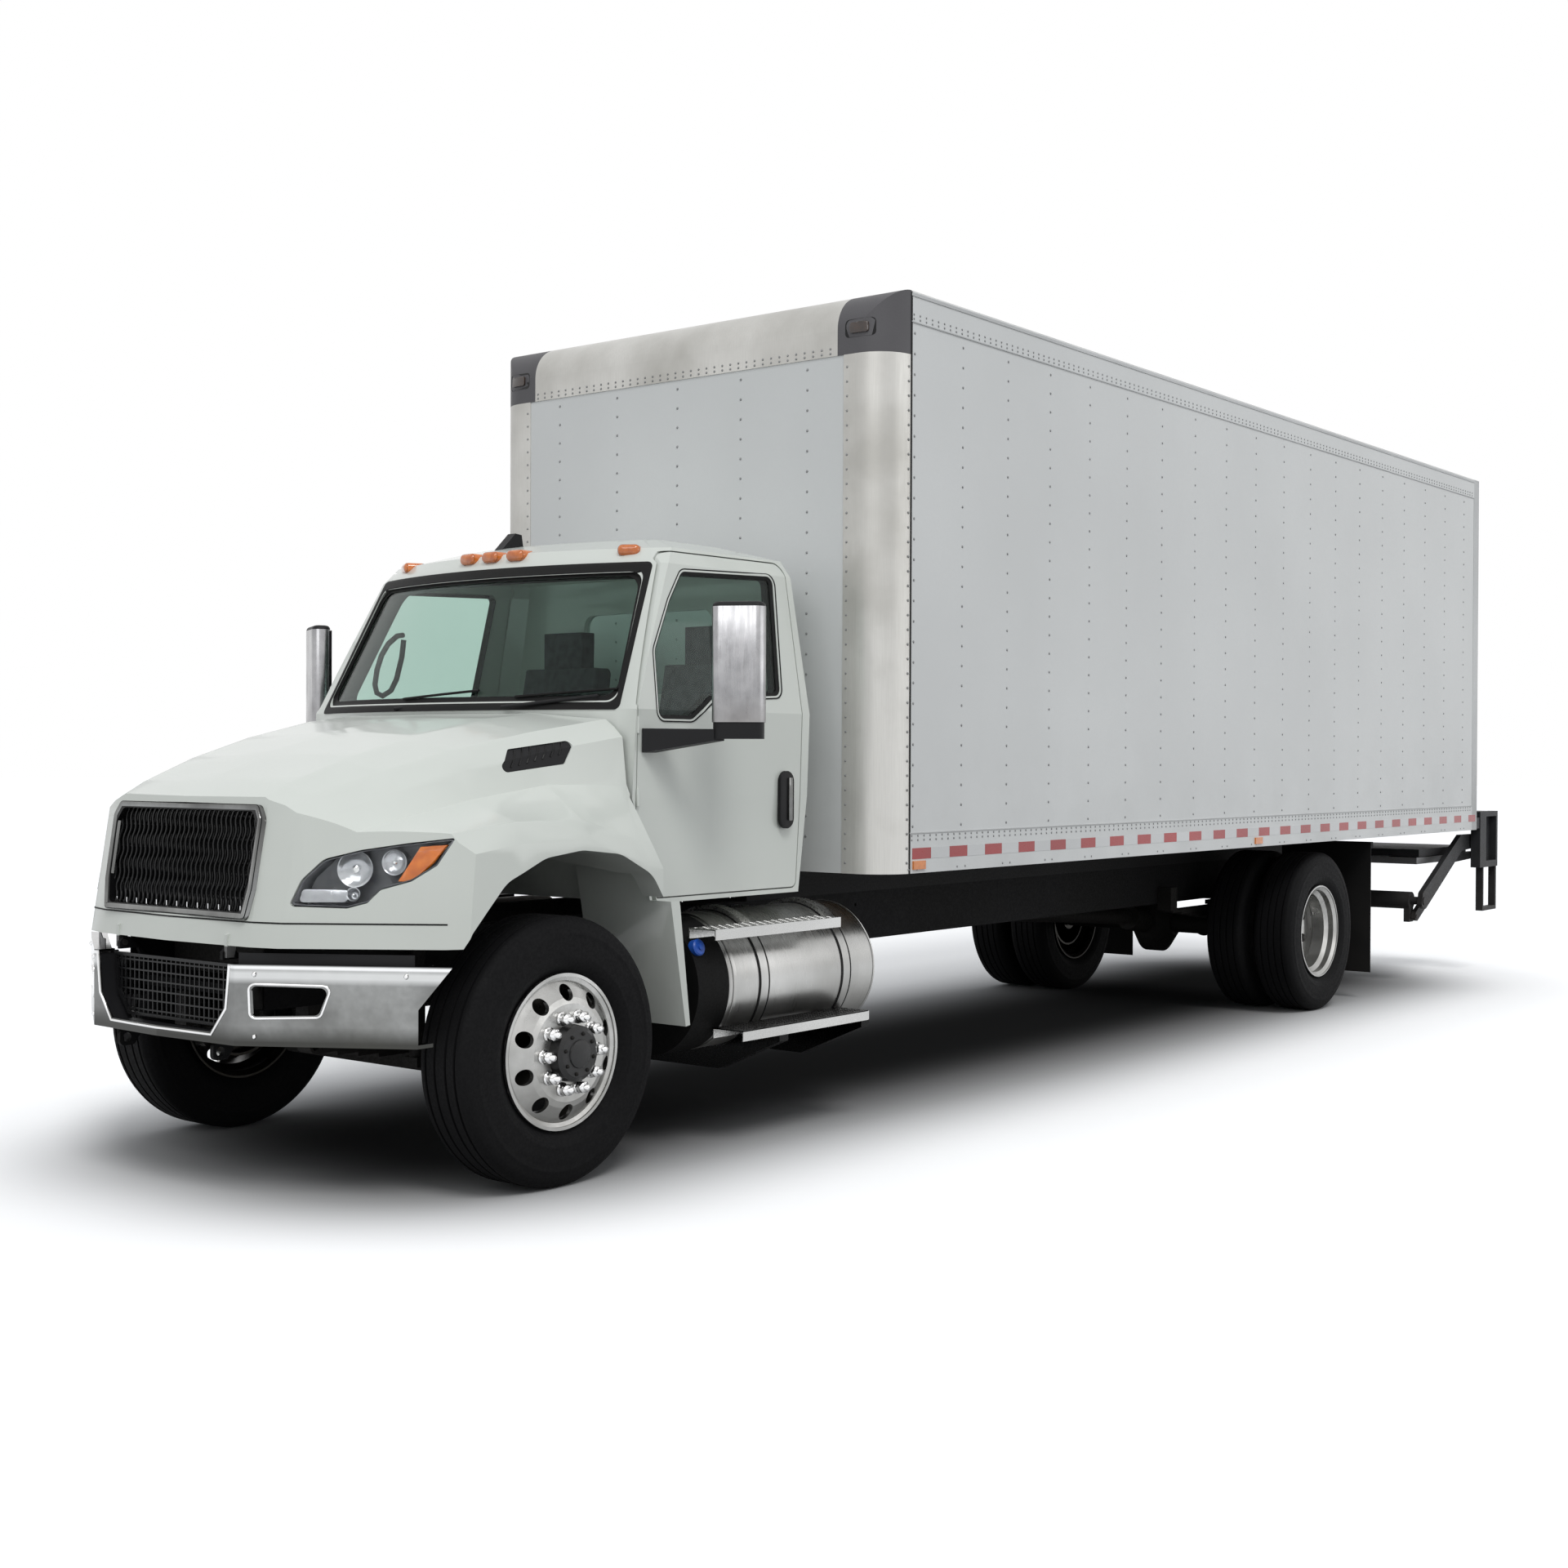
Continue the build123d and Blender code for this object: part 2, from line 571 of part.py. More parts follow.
# windscreen opening: follows the front arc between belt and roof edge
screen_zone = prism_x([(-925, 1905), (925, 1905), (838, 2462), (-838, 2462)],
                      at(-1000), at(-100), [40, 40, 60, 60])
rear_zone = prism_x([(-420, 1980), (420, 1980), (420, 2380), (-420, 2380)],
                    at(-1800), at(-1600), [60, 60, 60, 60])
glass_band = cab_solid(14, 0, 14) - cab_solid(14 + GLASS_T, 0, 14 + GLASS_T)
windscreen = glass_band & screen_zone
rear_glass = glass_band & rear_zone
screen_cut = screen_zone & prism_y([(at(-200), 1850), (at(-560), 1850), (at(-860), 2500),
                                    (at(-200), 2500)], -1200, 1200)
shell = shell - door_hole - flip(door_hole) - screen_cut - rear_zone
save("cab_shell", shell)
save("cab_glass", windscreen, rear_glass)

door_skin = (cab_outer - cab_inner) & door_blank
glass_side = glass_band & window_cut
door = door_skin - window_cut
HINGE_D = -522.0  # the doors' swing axis
HINGE_Y = 1026.0
HINGE_R = 7.0
HINGE_ZS = (1470.0, 1770.0)
handle_cup = prism_y([(at(-1480), 1355), (at(-1535), 1355), (at(-1535), 1610), (at(-1480), 1610)],
                     1030, 1042, [26, 26, 26, 26])
handle_bar = box(at(-1516), at(-1500), 1042, 1052, 1395, 1575)
arm = Solid.make_loft([
    face_of([(at(-540), 1032, 1690), (at(-625), 1032, 1690), (at(-625), 1032, 1790),
             (at(-540), 1032, 1790)]).outer_wire(),
    face_of([(at(-700), 1285, 1740), (at(-765), 1285, 1740), (at(-765), 1285, 1788),
             (at(-700), 1285, 1788)]).outer_wire()], ruled=True)
MIRROR_D = -775.0
MIRROR_Y = 1354.0
MIRROR_TOE = 28.0  # the heads turn their chrome backs outwards by this angle
mirror_cup = box(-40, 40, -106, 106, 1748, 1816)
mirror_head = box(-44, 44, -110, 110, 1816, 2312)
mirror_cup = fillet(mirror_cup.edges().filter_by(Axis.Z), 34)
mirror_head = fillet(mirror_head.edges().filter_by(Axis.Z), 36)
mirror_head = fillet(mirror_head.edges().group_by(Axis.Z)[-1], 20)
mirror_place = Pos(at(MIRROR_D), MIRROR_Y, 0) * Rot(0, 0, MIRROR_TOE)
mirror_cup = mirror_place * mirror_cup
mirror_head = mirror_place * mirror_head
hinge_barrels = []
for z in HINGE_ZS:
    hinge_barrels.append(rod((at(HINGE_D), HINGE_Y, z), (at(HINGE_D), HINGE_Y, z + 70), HINGE_R))
door = join(door, hinge_barrels)
save("door_left", door, join(handle_cup, handle_bar))
save("door_left_glass", glass_side)
save("mirror_left", join(arm, mirror_cup, mirror_head))
save("door_right", flip(door), flip(join(handle_cup, handle_bar)))
save("door_right_glass", flip(glass_side))
save("mirror_right", flip(join(arm, mirror_cup, mirror_head)))

# ---------------------------------------------------------------- cab interior
DASH_Y = 800.0
dash = prism_y([(at(-560), 1180), (at(-640), 1180), (at(-700), 1560), (at(-900), 1640),
                (at(-900), 1790), (at(-800), 1840), (at(-560), 1840)], -DASH_Y, DASH_Y)
dash = dash & cab_solid(CAB_WALL + 4, 54, CAB_WALL)
COLUMN_Y = 470.0
WHEEL_RING_R = 225.0
SPOKE_W = 34.0
SPOKE_T = 16.0
STEER_C = Vector(at(-1020), COLUMN_Y, 1790)
STEER_DIR = Vector(-0.74, 0, 0.673).normalized()
column_top = STEER_C - STEER_DIR * 30
column = rod((at(-845), COLUMN_Y, 1631), tuple(column_top), 28)
save("dashboard", dash, column & box(at(-1100), at(-901), 300, 600, 1500, 1900))
ring_plane = Plane(origin=STEER_C, z_dir=STEER_DIR)
ring = ring_plane * Torus(WHEEL_RING_R, 15)
hub_disc = ring_plane * Cylinder(62, 40)
spokes = [ring_plane * Box(SPOKE_W, 2 * WHEEL_RING_R, SPOKE_T),
          ring_plane * Pos(WHEEL_RING_R / 2, 0, 0) * Box(WHEEL_RING_R, SPOKE_W, SPOKE_T)]
save("steering_wheel", join(ring, hub_disc, spokes))
seat_parts = []
for y in (COLUMN_Y, -COLUMN_Y):
    cushion = box(at(-1060), at(-1540), y - 250, y + 250, 1400, 1530)
    cushion = fillet(cushion.edges(), 35)
    back = prism_y([(at(-1475), 1531), (at(-1620), 1531), (at(-1690), 2110), (at(-1585), 2110)],
                   y - 240, y + 240)
    back = fillet(back.edges().filter_by(Axis.Y), 30)
    head = box(at(-1592), at(-1682), y - 130, y + 130, 2112, 2290)
    base = box(at(-1120), at(-1500), y - 190, y + 190, 1110, 1399)
    seat_parts += [cushion, back, head, base]
save("seats", seat_parts)

# ---------------------------------------------------------------- cab trim
lamps = []
for y, d, turn in ((0, -700, 0), (150, -706, 4), (-150, -706, -4), (700, -826, 30),
                   (-700, -826, -30)):
    lamp_block = Box(90, 96, 48)
    lamp_block = fillet(lamp_block.edges().filter_by(Axis.X), 21)
    lamps.append(Pos(at(d), y, 2564) * Rot(0, 0, turn) * lamp_block)
lamp_bodies = [s - cab_outer for s in lamps]
fin = prism_y([(at(-880), 2600), (at(-1060), 2600), (at(-1040), 2712), (at(-1000), 2716)],
              -245, -195) - cab_outer
wiper_bits = []
for y in (-260.0, 420.0):
    wiper_bits.append(rod((at(-330), y, 1880), (at(-470), y + 430, 1925), 8))
wipers = [w - cab_outer for w in wiper_bits]
save("cab_trim", lamp_bodies, fin, wipers)

# ---------------------------------------------------------------- hood
# Half sections across the hood, centre line first: (station, [(y, z), ...]).
HOOD_ROWS = [
    (-560.0, [(0, 1874), (600, 1869), (925, 1838), (1003, 1765), (1022, 1560), (1118, 1305),
              (1150, 1215), (1152, 965)]),
    (-440.0, [(0, 1868), (600, 1862), (905, 1826), (985, 1750), (1008, 1560), (1118, 1335),
              (1150, 1240), (1152, 965)]),
    (-100.0, [(0, 1832), (560, 1822), (815, 1768), (890, 1690), (925, 1560), (1115, 1425),
              (1155, 1345), (1160, 965)]),
    (250.0, [(0, 1765), (520, 1748), (735, 1690), (815, 1615), (865, 1505), (1105, 1425),
             (1155, 1345), (1162, 965)]),
    (550.0, [(0, 1678), (490, 1660), (655, 1602), (745, 1530), (820, 1440), (1075, 1385),
             (1135, 1300), (1150, 965)]),
    (800.0, [(0, 1578), (460, 1564), (575, 1516), (675, 1445), (780, 1375), (1025, 1345),
             (1095, 1280), (1120, 965)]),
    (920.0, [(0, 1512), (445, 1502), (530, 1468), (620, 1418), (735, 1345), (1000, 1322),
             (1060, 1262), (1100, 965)]),
    (1030.0, [(0, 1420), (435, 1412), (510, 1392), (600, 1362), (720, 1312), (960, 1295),
              (1030, 1240), (1070, 965)]),
]
HOOD_Z0 = 965.0
HOOD_T = 9.0
LEAN = 0.166
FRONT_PLAN = [(1018.0, 0.0), (992.0, 473.0), (956.0, 600.0), (602.0, 1100.0), (500.0, 1170.0),
              (-700.0, 1215.0)]


def hood_loft(t):
    wires = []
    for d, half in HOOD_ROWS:
        pts = [(at(d), y - t if y else 0, z - t if z > HOOD_Z0 else z - 2 * t) for y, z in half]
        mirror = [(x, -y, z) for x, y, z in pts[1:]]
        ring = pts + mirror[::-1]
        wires.append(Wire.make_polygon([Vector(*p) for p in ring], close=True))
    return Solid.make_loft(wires, ruled=True)


def front_block(t):
    wires = []
    for z in (900.0 - 2 * t, 1950.0):
        half = [(at(d - t * 1.2 - LEAN * (z - 900.0)), y - t if y else 0) for d, y in FRONT_PLAN]
        ring = half + [(x, -y) for x, y in half[:0:-1]]
        wires.append(Wire.make_polygon([Vector(x, y, z) for x, y in ring], close=True))
    return Solid.make_loft(wires, ruled=True)


hood_outer = hood_loft(0) & front_block(0)
hood_inner = hood_loft(HOOD_T) & front_block(HOOD_T)
HOOD_REAR = [(-308.0, 0.0), (-466.0, 943.0)]
CAB_SIDE_CLEAR = 1036.0
rear_arc = ThreePointArc((at(-466), 943, 800), (at(-308), 0, 800), (at(-466), -943, 800))
rear_pts = [(at(-466), -943), (at(-470), -CAB_SIDE_CLEAR), (at(-900), -CAB_SIDE_CLEAR),
            (at(-900), CAB_SIDE_CLEAR), (at(-470), CAB_SIDE_CLEAR), (at(-466), 943)]
rear_lines = [Line((*rear_pts[i], 800), (*rear_pts[i + 1], 800)) for i in range(5)]
rear_face = Face(Wire([rear_arc.edge()] + [ln.edge() for ln in rear_lines]))
cab_zone = Solid.extrude(rear_face, Vector(0, 0, 1300))
rear_trim = prism_y([(at(-440), 2000), (at(-440), 1600), (at(-505), 1330), (at(-543), 1215),
                     (at(-543), 900), (at(-900), 900), (at(-900), 2000)], 1030, 1300)
ARCH = [(at(575), 900), (at(500), 1020), (at(330), 1200), (at(130), 1285), (at(-70), 1308),
        (at(-290), 1285), (at(-478), 1195), (at(-570), 1060), (at(-600), 900)]
ARCH_R = [0, 40, 160, 200, 200, 200, 160, 60, 0]
arch_cut = prism_y(ARCH, 600, 1300, ARCH_R)
hood = hood_outer - hood_inner - cab_zone - rear_trim - flip(rear_trim)
hood = hood - arch_cut - flip(arch_cut)
liner_band = prism_y(grow(ARCH, 7), 645, 1148, ARCH_R) - prism_y(ARCH, 600, 1300, ARCH_R)
liner = liner_band & hood_inner
liner = liner - cab_zone - rear_trim - box(at(-700), at(700), 600, 1300, 800, HOOD_Z0 + 2)
liner = max(liner.solids(), key=lambda s: s.volume)

# grille opening and surround in the leaning plane of the nose
NOSE_TILT = math.degrees(math.atan(LEAN))
GRILLE = [(-448, 1062), (448, 1062), (470, 1180), (474, 1440), (440, 1492), (-440, 1492),
          (-474, 1440), (-470, 1180)]
GRILLE_RADII = [22, 22, 0.0, 40, 30, 30, 40, 0.0]
RING_W = 26.0


def inset_yz(pts, s):
    mid = (1062 + 1492) / 2
    out = []
    for y, z in pts:
        out.append((y - s * (1 if y > 0 else -1), z - s * (1 if z > mid else -1)))
    return out


def lean_back(shape):
    """Tilt a shape built upright about the lower edge of the grille."""
    axis = Axis((at(966), 0, 1053), (0, 1, 0))
    return shape.rotate(axis, -NOSE_TILT)


grille_hole = lean_back(prism_x(inset_yz(GRILLE, -1), at(860), at(1100), GRILLE_RADII))
ring_outer = prism_x(GRILLE, at(932), at(988), GRILLE_RADII)
ring_inner = prism_x(inset_yz(GRILLE, RING_W), at(900), at(1100), GRILLE_RADII)
bars = []
for i in range(-15, 16):
    bars.append(box(at(944), at(956), i * 30 - 3, i * 30 + 3, 1070, 1485))
for i in range(9):
    z = 1098 + i * 44
    bars.append(box(at(940), at(952), -460, 460, z - 3.5, z + 3.5))
bar_zone = prism_x(inset_yz(GRILLE, RING_W - 2), at(900), at(1100), GRILLE_RADII)
grille = lean_back(join(ring_outer - ring_inner, join(bars) & bar_zone))
hood = hood - grille_hole

# headlamps on the swept corner: outline as (y, z) seen from the front
LAMP = [(612, 1118), (640, 1215), (700, 1292), (810, 1326), (950, 1352), (1092, 1372),
        (1046, 1270), (975, 1212), (885, 1180), (850, 1132), (790, 1112)]
LAMP_RADII = [14, 60, 50, 0.0, 0.0, 6, 0.0, 30, 14, 14, 0.0]


def scale_yz(pts, s):
    cy = sum(p[0] for p in pts) / len(pts)
    cz = sum(p[1] for p in pts) / len(pts)
    return [(cy + (y - cy) * s, cz + (z - cz) * s) for y, z in pts]


lamp_hole = prism_x(LAMP, at(300), at(1100), LAMP_RADII)
lamp_core = prism_x(scale_yz(LAMP, 0.99), at(300), at(1100), LAMP_RADII)
lamp_shell = (hood_loft(1) & front_block(1)) - (hood_loft(40) & front_block(40))
lamp = max((lamp_shell & lamp_core).solids(), key=lambda s: s.volume)
hood = hood - lamp_hole - flip(lamp_hole)

# side vents
VENT = [(at(112), 1602), (at(22), 1700), (at(-256), 1740), (at(-194), 1642)]
VENT_RADII = [20, 20, 16, 16]
vent_hole = prism_y(VENT, 700, 1100, VENT_RADII)
vent_core = prism_y(scale_yz(VENT, 0.985), 700, 1100, VENT_RADII)
vent_shell = hood_loft(3) - hood_loft(HOOD_T)
vent = vent_core & vent_shell
hood = hood - vent_hole - flip(vent_hole)
hinge_arm = prism_y([(at(HOOD_PIVOT_D) + 16, HOOD_PIVOT_Z - 16),
                     (at(HOOD_PIVOT_D) + 16, HOOD_Z0 + 40), (at(HOOD_PIVOT_D) - 40, HOOD_Z0 + 60),
                     (at(HOOD_PIVOT_D) - 16, HOOD_PIVOT_Z - 16)],
                    HOOD_PIVOT_Y + 10, HOOD_PIVOT_Y + 26)
hinge_pin = rod((at(HOOD_PIVOT_D), HOOD_PIVOT_Y - 12, HOOD_PIVOT_Z),
                (at(HOOD_PIVOT_D), HOOD_PIVOT_Y + 26, HOOD_PIVOT_Z), PIN_R)
hinge_bits = join(hinge_arm, hinge_pin)
save("hood", join(hood, liner, flip(liner), hinge_bits, flip(hinge_bits)))
save("grille", grille)
save("headlamps", both(lamp))
save("hood_vents", both(vent))

# ---------------------------------------------------------------- knuckles and tie rod
YOKE_T = 34.0
SPINDLE_R = 38.0
SPINDLE_END = 1050.0
ARM_D = -190.0
ARM_Y = KINGPIN_Y  # arms straight back, so both wheels steer alike
ARM_Z = 452.0
yoke_top = box(at(-45), at(45), KINGPIN_Y - 42, KINGPIN_Y + 60, AXLE_Z + 49, AXLE_Z + 49 + YOKE_T)
yoke_low = box(at(-45), at(45), KINGPIN_Y - 42, KINGPIN_Y + 60, AXLE_Z - 49 - YOKE_T, AXLE_Z - 49)
upright = box(at(-55), at(55), KINGPIN_Y + 44, KINGPIN_Y + 70, AXLE_Z - 49 - YOKE_T,
              AXLE_Z + 49 + YOKE_T)
kingpin = rod((at(0), KINGPIN_Y, AXLE_Z - 90), (at(0), KINGPIN_Y, AXLE_Z + 90), KINGPIN_R)
spindle = rod((at(0), KINGPIN_Y + 60, AXLE_Z), (at(0), SPINDLE_END, AXLE_Z), SPINDLE_R)
arm_plate = prism_z([(at(-20), KINGPIN_Y - 42), (at(-20), KINGPIN_Y + 30),
                     (at(ARM_D) - 26, ARM_Y + 26), (at(ARM_D) - 26, ARM_Y - 26),
                     (at(ARM_D) + 20, ARM_Y - 26)], AXLE_Z - 49 - YOKE_T, AXLE_Z - 49 - 8)
ball = rod((at(ARM_D), ARM_Y, ARM_Z - 40), (at(ARM_D), ARM_Y, ARM_Z), 12)
knuckle = join(yoke_top, yoke_low, upright, kingpin, spindle, arm_plate, ball)
save("knuckle_left", knuckle)
save("knuckle_right", flip(knuckle))
ROD_Z = ARM_Z - 24
TIE_R = 18.0
tie_eye = rod((at(ARM_D), ARM_Y, ROD_Z - 20), (at(ARM_D), ARM_Y, ROD_Z + 14), 28)
tie = join(rod((at(ARM_D), ARM_Y, ROD_Z - 3), (at(ARM_D), -ARM_Y, ROD_Z - 3), TIE_R), tie_eye,
           flip(tie_eye))
tie_bore = rod((at(ARM_D), ARM_Y, ROD_Z - 60), (at(ARM_D), ARM_Y, ROD_Z + 60), 14)
save("tie_rod", tie - tie_bore - flip(tie_bore))

# ---------------------------------------------------------------- wheels and tyres
def barrel_outer(c, m):
    """Outside of a rim centred at offset c; m is 1 with the disc towards +, -1 for -."""
    w = RIM_W / 2
    pts = [(-w, RIM_R), (-w + 14, RIM_R), (-w + 22, SEAT_R), (-60, SEAT_R), (-40, WELL_R),
           (40, WELL_R), (60, SEAT_R), (w - 22, SEAT_R), (w - 14, RIM_R), (w, RIM_R),
           (w, RIM_R - 13), (w - 8, RIM_R - 13), (w - 14, SEAT_R - 8), (w, 256)]
    return [(c + m * o, r) for o, r in pts]


def barrel_inner(c, m):
    """Inside of the same rim, from the disc's root back to the open end."""
    w = RIM_W / 2
    pts = [(w - 14, 248), (w - 30, SEAT_R - RIM_T), (60, SEAT_R - RIM_T), (40, WELL_R - RIM_T),
           (-40, WELL_R - RIM_T), (-60, SEAT_R - RIM_T), (-w + 22, SEAT_R - RIM_T),
           (-w + 6, RIM_R - RIM_T), (-w, RIM_R - RIM_T)]
    return [(c + m * o, r) for o, r in pts]


def hand_holes(x, y0, y1, z):
    cuts = []
    for i in range(HAND_HOLES):
        a = 2 * math.pi * (i + 0.5) / HAND_HOLES
        px = x + HAND_HOLE_PCR * math.cos(a)
        pz = z + HAND_HOLE_PCR * math.sin(a)
        cuts.append(rod((px, y0, pz), (px, y1, pz), HAND_HOLE_R))
    return cuts


def nut_set(x, y0, y1, z):
    nuts = []
    for i in range(NUTS):
        a = 2 * math.pi * i / NUTS
        px = x + NUT_PCR * math.cos(a)
        pz = z + NUT_PCR * math.sin(a)
        nuts.append(rod((px, y0, pz), (px, y1, pz), NUT_R))
    return nuts


def front_wheel():
    """Steer wheel: convex disc, hub with oil cap, brake drum, one turned section."""
    x, y, z = AXLE_F, FRONT_WHEEL_Y, AXLE_Z
    f = FRONT_FACE
    b = f - DISC_T
    bore = SPINDLE_R + 1
    section = barrel_outer(0, 1)
    section += [(f - 8, 214), (f, 190), (f, HUB_R), (f + 42, HUB_R - 4), (f + 52, HUB_R - 22),
                (f + 52, 0), (50, 0), (50, bore), (-60, bore), (-60, 70), (-34, 70),
                (-34, DRUM_R - 12), (-92, DRUM_R - 12), (-92, DRUM_R), (-22, DRUM_R), (-22, 88),
                (b, 88), (b, 186), (b - 10, 206)]
    section += barrel_inner(0, 1)
    body = turned(section, x, y, z)
    body = body.cut(*hand_holes(x, y + 70, y + f + 30, z))
    return join(body, nut_set(x, y + f, y + f + NUT_L, z))


def rear_wheel():
    """Pair of dual wheels back to back on one hub, with the brake drum."""
    x, y, z = AXLE_R, DUAL_MID_Y, AXLE_Z
    h = DUAL_SPACING / 2
    t = DISC_T
    bore = REAR_SPINDLE_R + 1
    section = barrel_outer(h, -1)
    section += [(8, 214), (0, 190), (-8, 214)]
    section += barrel_outer(-h, 1)[::-1]
    section += barrel_inner(-h, 1)[::-1]
    section += [(-t - 10, 206), (-t, 186), (-t, 92), (-60, 92), (-60, DRUM_R), (-226, DRUM_R),
                (-226, DRUM_R - 12), (-74, DRUM_R - 12), (-74, 92), (-230, 92), (-230, bore),
                (100, bore), (100, 0), (118, 0), (118, 66), (86, 70), (70, 92), (t, 92),
                (t, 186), (t + 10, 206)]
    section += barrel_inner(h, -1)
    body = turned(section, x, y, z)
    body = body.cut(*hand_holes(x, y - 75, y + 75, z))
    return join(body, nut_set(x, y + t, y + t + NUT_L, z))


def tyre(x, y, z):
    """Hollow tyre: tread, sidewalls and beads that seat on the rim."""
    w = TYRE_W / 2
    seat = SEAT_R + 0.4
    bead = RIM_W / 2 - 22.5
    out = [(-bead, seat), (-bead + 1, 306), (-w + 8, 350), (-w, 415), (-w + 6, 480),
           (-w + 22, 512), (-w + 44, TYRE_R), (w - 44, TYRE_R), (w - 22, 512), (w - 6, 480),
           (w, 415), (w - 8, 350), (bead - 1, 306), (bead, seat)]
    inner = [(bead - 24, seat), (bead - 24, 306), (w - 34, 360), (w - 24, 415), (w - 34, 478),
             (w - 60, 500), (-w + 60, 500), (-w + 34, 478), (-w + 24, 415), (-w + 34, 360),
             (-bead + 24, 306), (-bead + 24, seat)]
    return turned(out + inner, x, y, z)


front_w = front_wheel()
rear_w = rear_wheel()
front_t = tyre(AXLE_F, FRONT_WHEEL_Y, AXLE_Z)
rear_t = [tyre(AXLE_R, REAR_OUTER_Y, AXLE_Z), tyre(AXLE_R, REAR_INNER_Y, AXLE_Z)]
save("wheel_front_left", front_w)
save("wheel_front_right", flip(front_w))
save("wheel_rear_left", rear_w)
save("wheel_rear_right", flip(rear_w))
save("tyre_front_left", front_t)
save("tyre_front_right", flip(front_t))
save("tyre_rear_left", rear_t)
save("tyre_rear_right", [flip(t) for t in rear_t])

# ---------------------------------------------------------------- body: sills, floor, walls
BODY_F = at(BODY_FRONT_D)
BODY_R = at(BODY_REAR_D)
HALF = BODY_W / 2
SEAM_X = BODY_F - NOSE_R  # end of the rounded front corner
INNER_Y = HALF - SIDE_T
LONGSILL_CUT_D = RAIL_REAR_D - 20
SILL_LOW = box(at(LONGSILL_CUT_D), BODY_F - 40, RAIL_OUT_Y - RAIL_FLANGE, RAIL_OUT_Y, RAIL_Z1,
               BODY_Z0)
SILL_TAIL = box(BODY_R + 60, at(LONGSILL_CUT_D), RAIL_OUT_Y - RAIL_FLANGE, RAIL_OUT_Y,
                BODY_Z0 - 50, BODY_Z0)
save("body_sills", both(join(SILL_LOW, SILL_TAIL)))

BEAM_T = 6.0
BEAM_FLANGE = 55.0
BEAM_TOP = FLOOR_Z - FLOOR_T
save("body_floor", box(BODY_R + REAR_FRAME_L, SEAM_X, -INNER_Y, INNER_Y, BEAM_TOP, FLOOR_Z))
floor_beams = []
beam_count = int((SEAM_X - BODY_R - REAR_FRAME_L - 60) / POST_PITCH) + 1
for i in range(beam_count):
    x = SEAM_X - 40 - i * POST_PITCH
    web = box(x - BEAM_T / 2, x + BEAM_T / 2, -INNER_Y, INNER_Y, BODY_Z0, BEAM_TOP)
    floor_beams.append(join(web, box(x - BEAM_FLANGE / 2, x + BEAM_FLANGE / 2, -INNER_Y, INNER_Y,
                                     BODY_Z0, BODY_Z0 + BEAM_T)))
save("body_beams", floor_beams)

SIDE_X0 = BODY_R + REAR_FRAME_L
sheet = box(SIDE_X0, SEAM_X, HALF - 6, HALF - 2, BOTTOM_RAIL_Z1, TOP_RAIL_Z0)
low_rail = box(SIDE_X0, SEAM_X, INNER_Y, HALF, BODY_Z0, BOTTOM_RAIL_Z1)
top_rail = box(SIDE_X0, SEAM_X, INNER_Y, HALF, TOP_RAIL_Z0, BODY_Z1 - SHEET_T)
post_list = []
post_count = int((SEAM_X - SIDE_X0 - POST_W) / POST_PITCH) + 1
for i in range(post_count):
    x = SEAM_X - POST_W / 2 - i * POST_PITCH
    post_list.append(box(x - POST_W / 2, x + POST_W / 2, INNER_Y, HALF - 6, BOTTOM_RAIL_Z1,
                         TOP_RAIL_Z0))
side = join(sheet, low_rail, top_rail, post_list)
save("body_side_left", side)
save("body_side_right", flip(side))

# rounded nose: one shell of the front end, split into posts, header and caps
POST_FLAT_Y = 1036.0
HEADER_Z0 = 3552.0
CAP_Y = 1000.0
CAP_Z0 = HEADER_Z0
NOSE_T = 4.0


def nose_block(t):
    r = NOSE_R - t
    lift = 1 if t else 0
    back = SEAM_X - 20 - lift
    plan = [(back, HALF - t), (back, -HALF + t), (BODY_F - t, -HALF + t), (BODY_F - t, HALF - t)]
    body = prism_z(plan, BODY_Z0 - lift, BODY_Z1 - t, [0, 0, r, r])
    side_view = prism_y([(back, BODY_Z0 - lift), (BODY_F - t, BODY_Z0 - lift),
                         (BODY_F - t, BODY_Z1 - t), (back, BODY_Z1 - t)], -HALF, HALF,
                        [0, 0, r, 0])
    return body & side_view


nose_skin = nose_block(0) - nose_block(NOSE_T)
front_zone = box(BODY_F - 10, BODY_F + 10, -POST_FLAT_Y, POST_FLAT_Y, BODY_Z0 - 10, HEADER_Z0)
post_zone = box(SEAM_X, BODY_F + 10, POST_FLAT_Y, HALF + 10, BODY_Z0 - 10, CAP_Z0)
cap_zone = box(SEAM_X, BODY_F + 10, CAP_Y, HALF + 10, CAP_Z0, BODY_Z1 + 10)
head_zone = box(SEAM_X, BODY_F + 10, -CAP_Y, CAP_Y, HEADER_Z0, BODY_Z1 + 10)
post_skin = nose_skin & post_zone
cap_skin = nose_skin & cap_zone
head_skin = nose_skin & head_zone
save("body_nose", both(post_skin), head_skin)
save("body_caps", both(cap_skin))

FRONT_SHEET = box(BODY_F - 8, BODY_F - 4, -POST_FLAT_Y - 20, POST_FLAT_Y + 20, BODY_Z0, HEADER_Z0)
front_posts = []
for i in range(-2, 3):
    y = i * 410.0
    front_posts.append(box(BODY_F - SIDE_T, BODY_F - 8, y - 30, y + 30, FLOOR_Z, HEADER_Z0))
front_sill = box(SEAM_X + GAP, BODY_F - 8, -POST_FLAT_Y, POST_FLAT_Y, BODY_Z0, FLOOR_Z)
save("body_front", join(FRONT_SHEET, front_posts, front_sill))

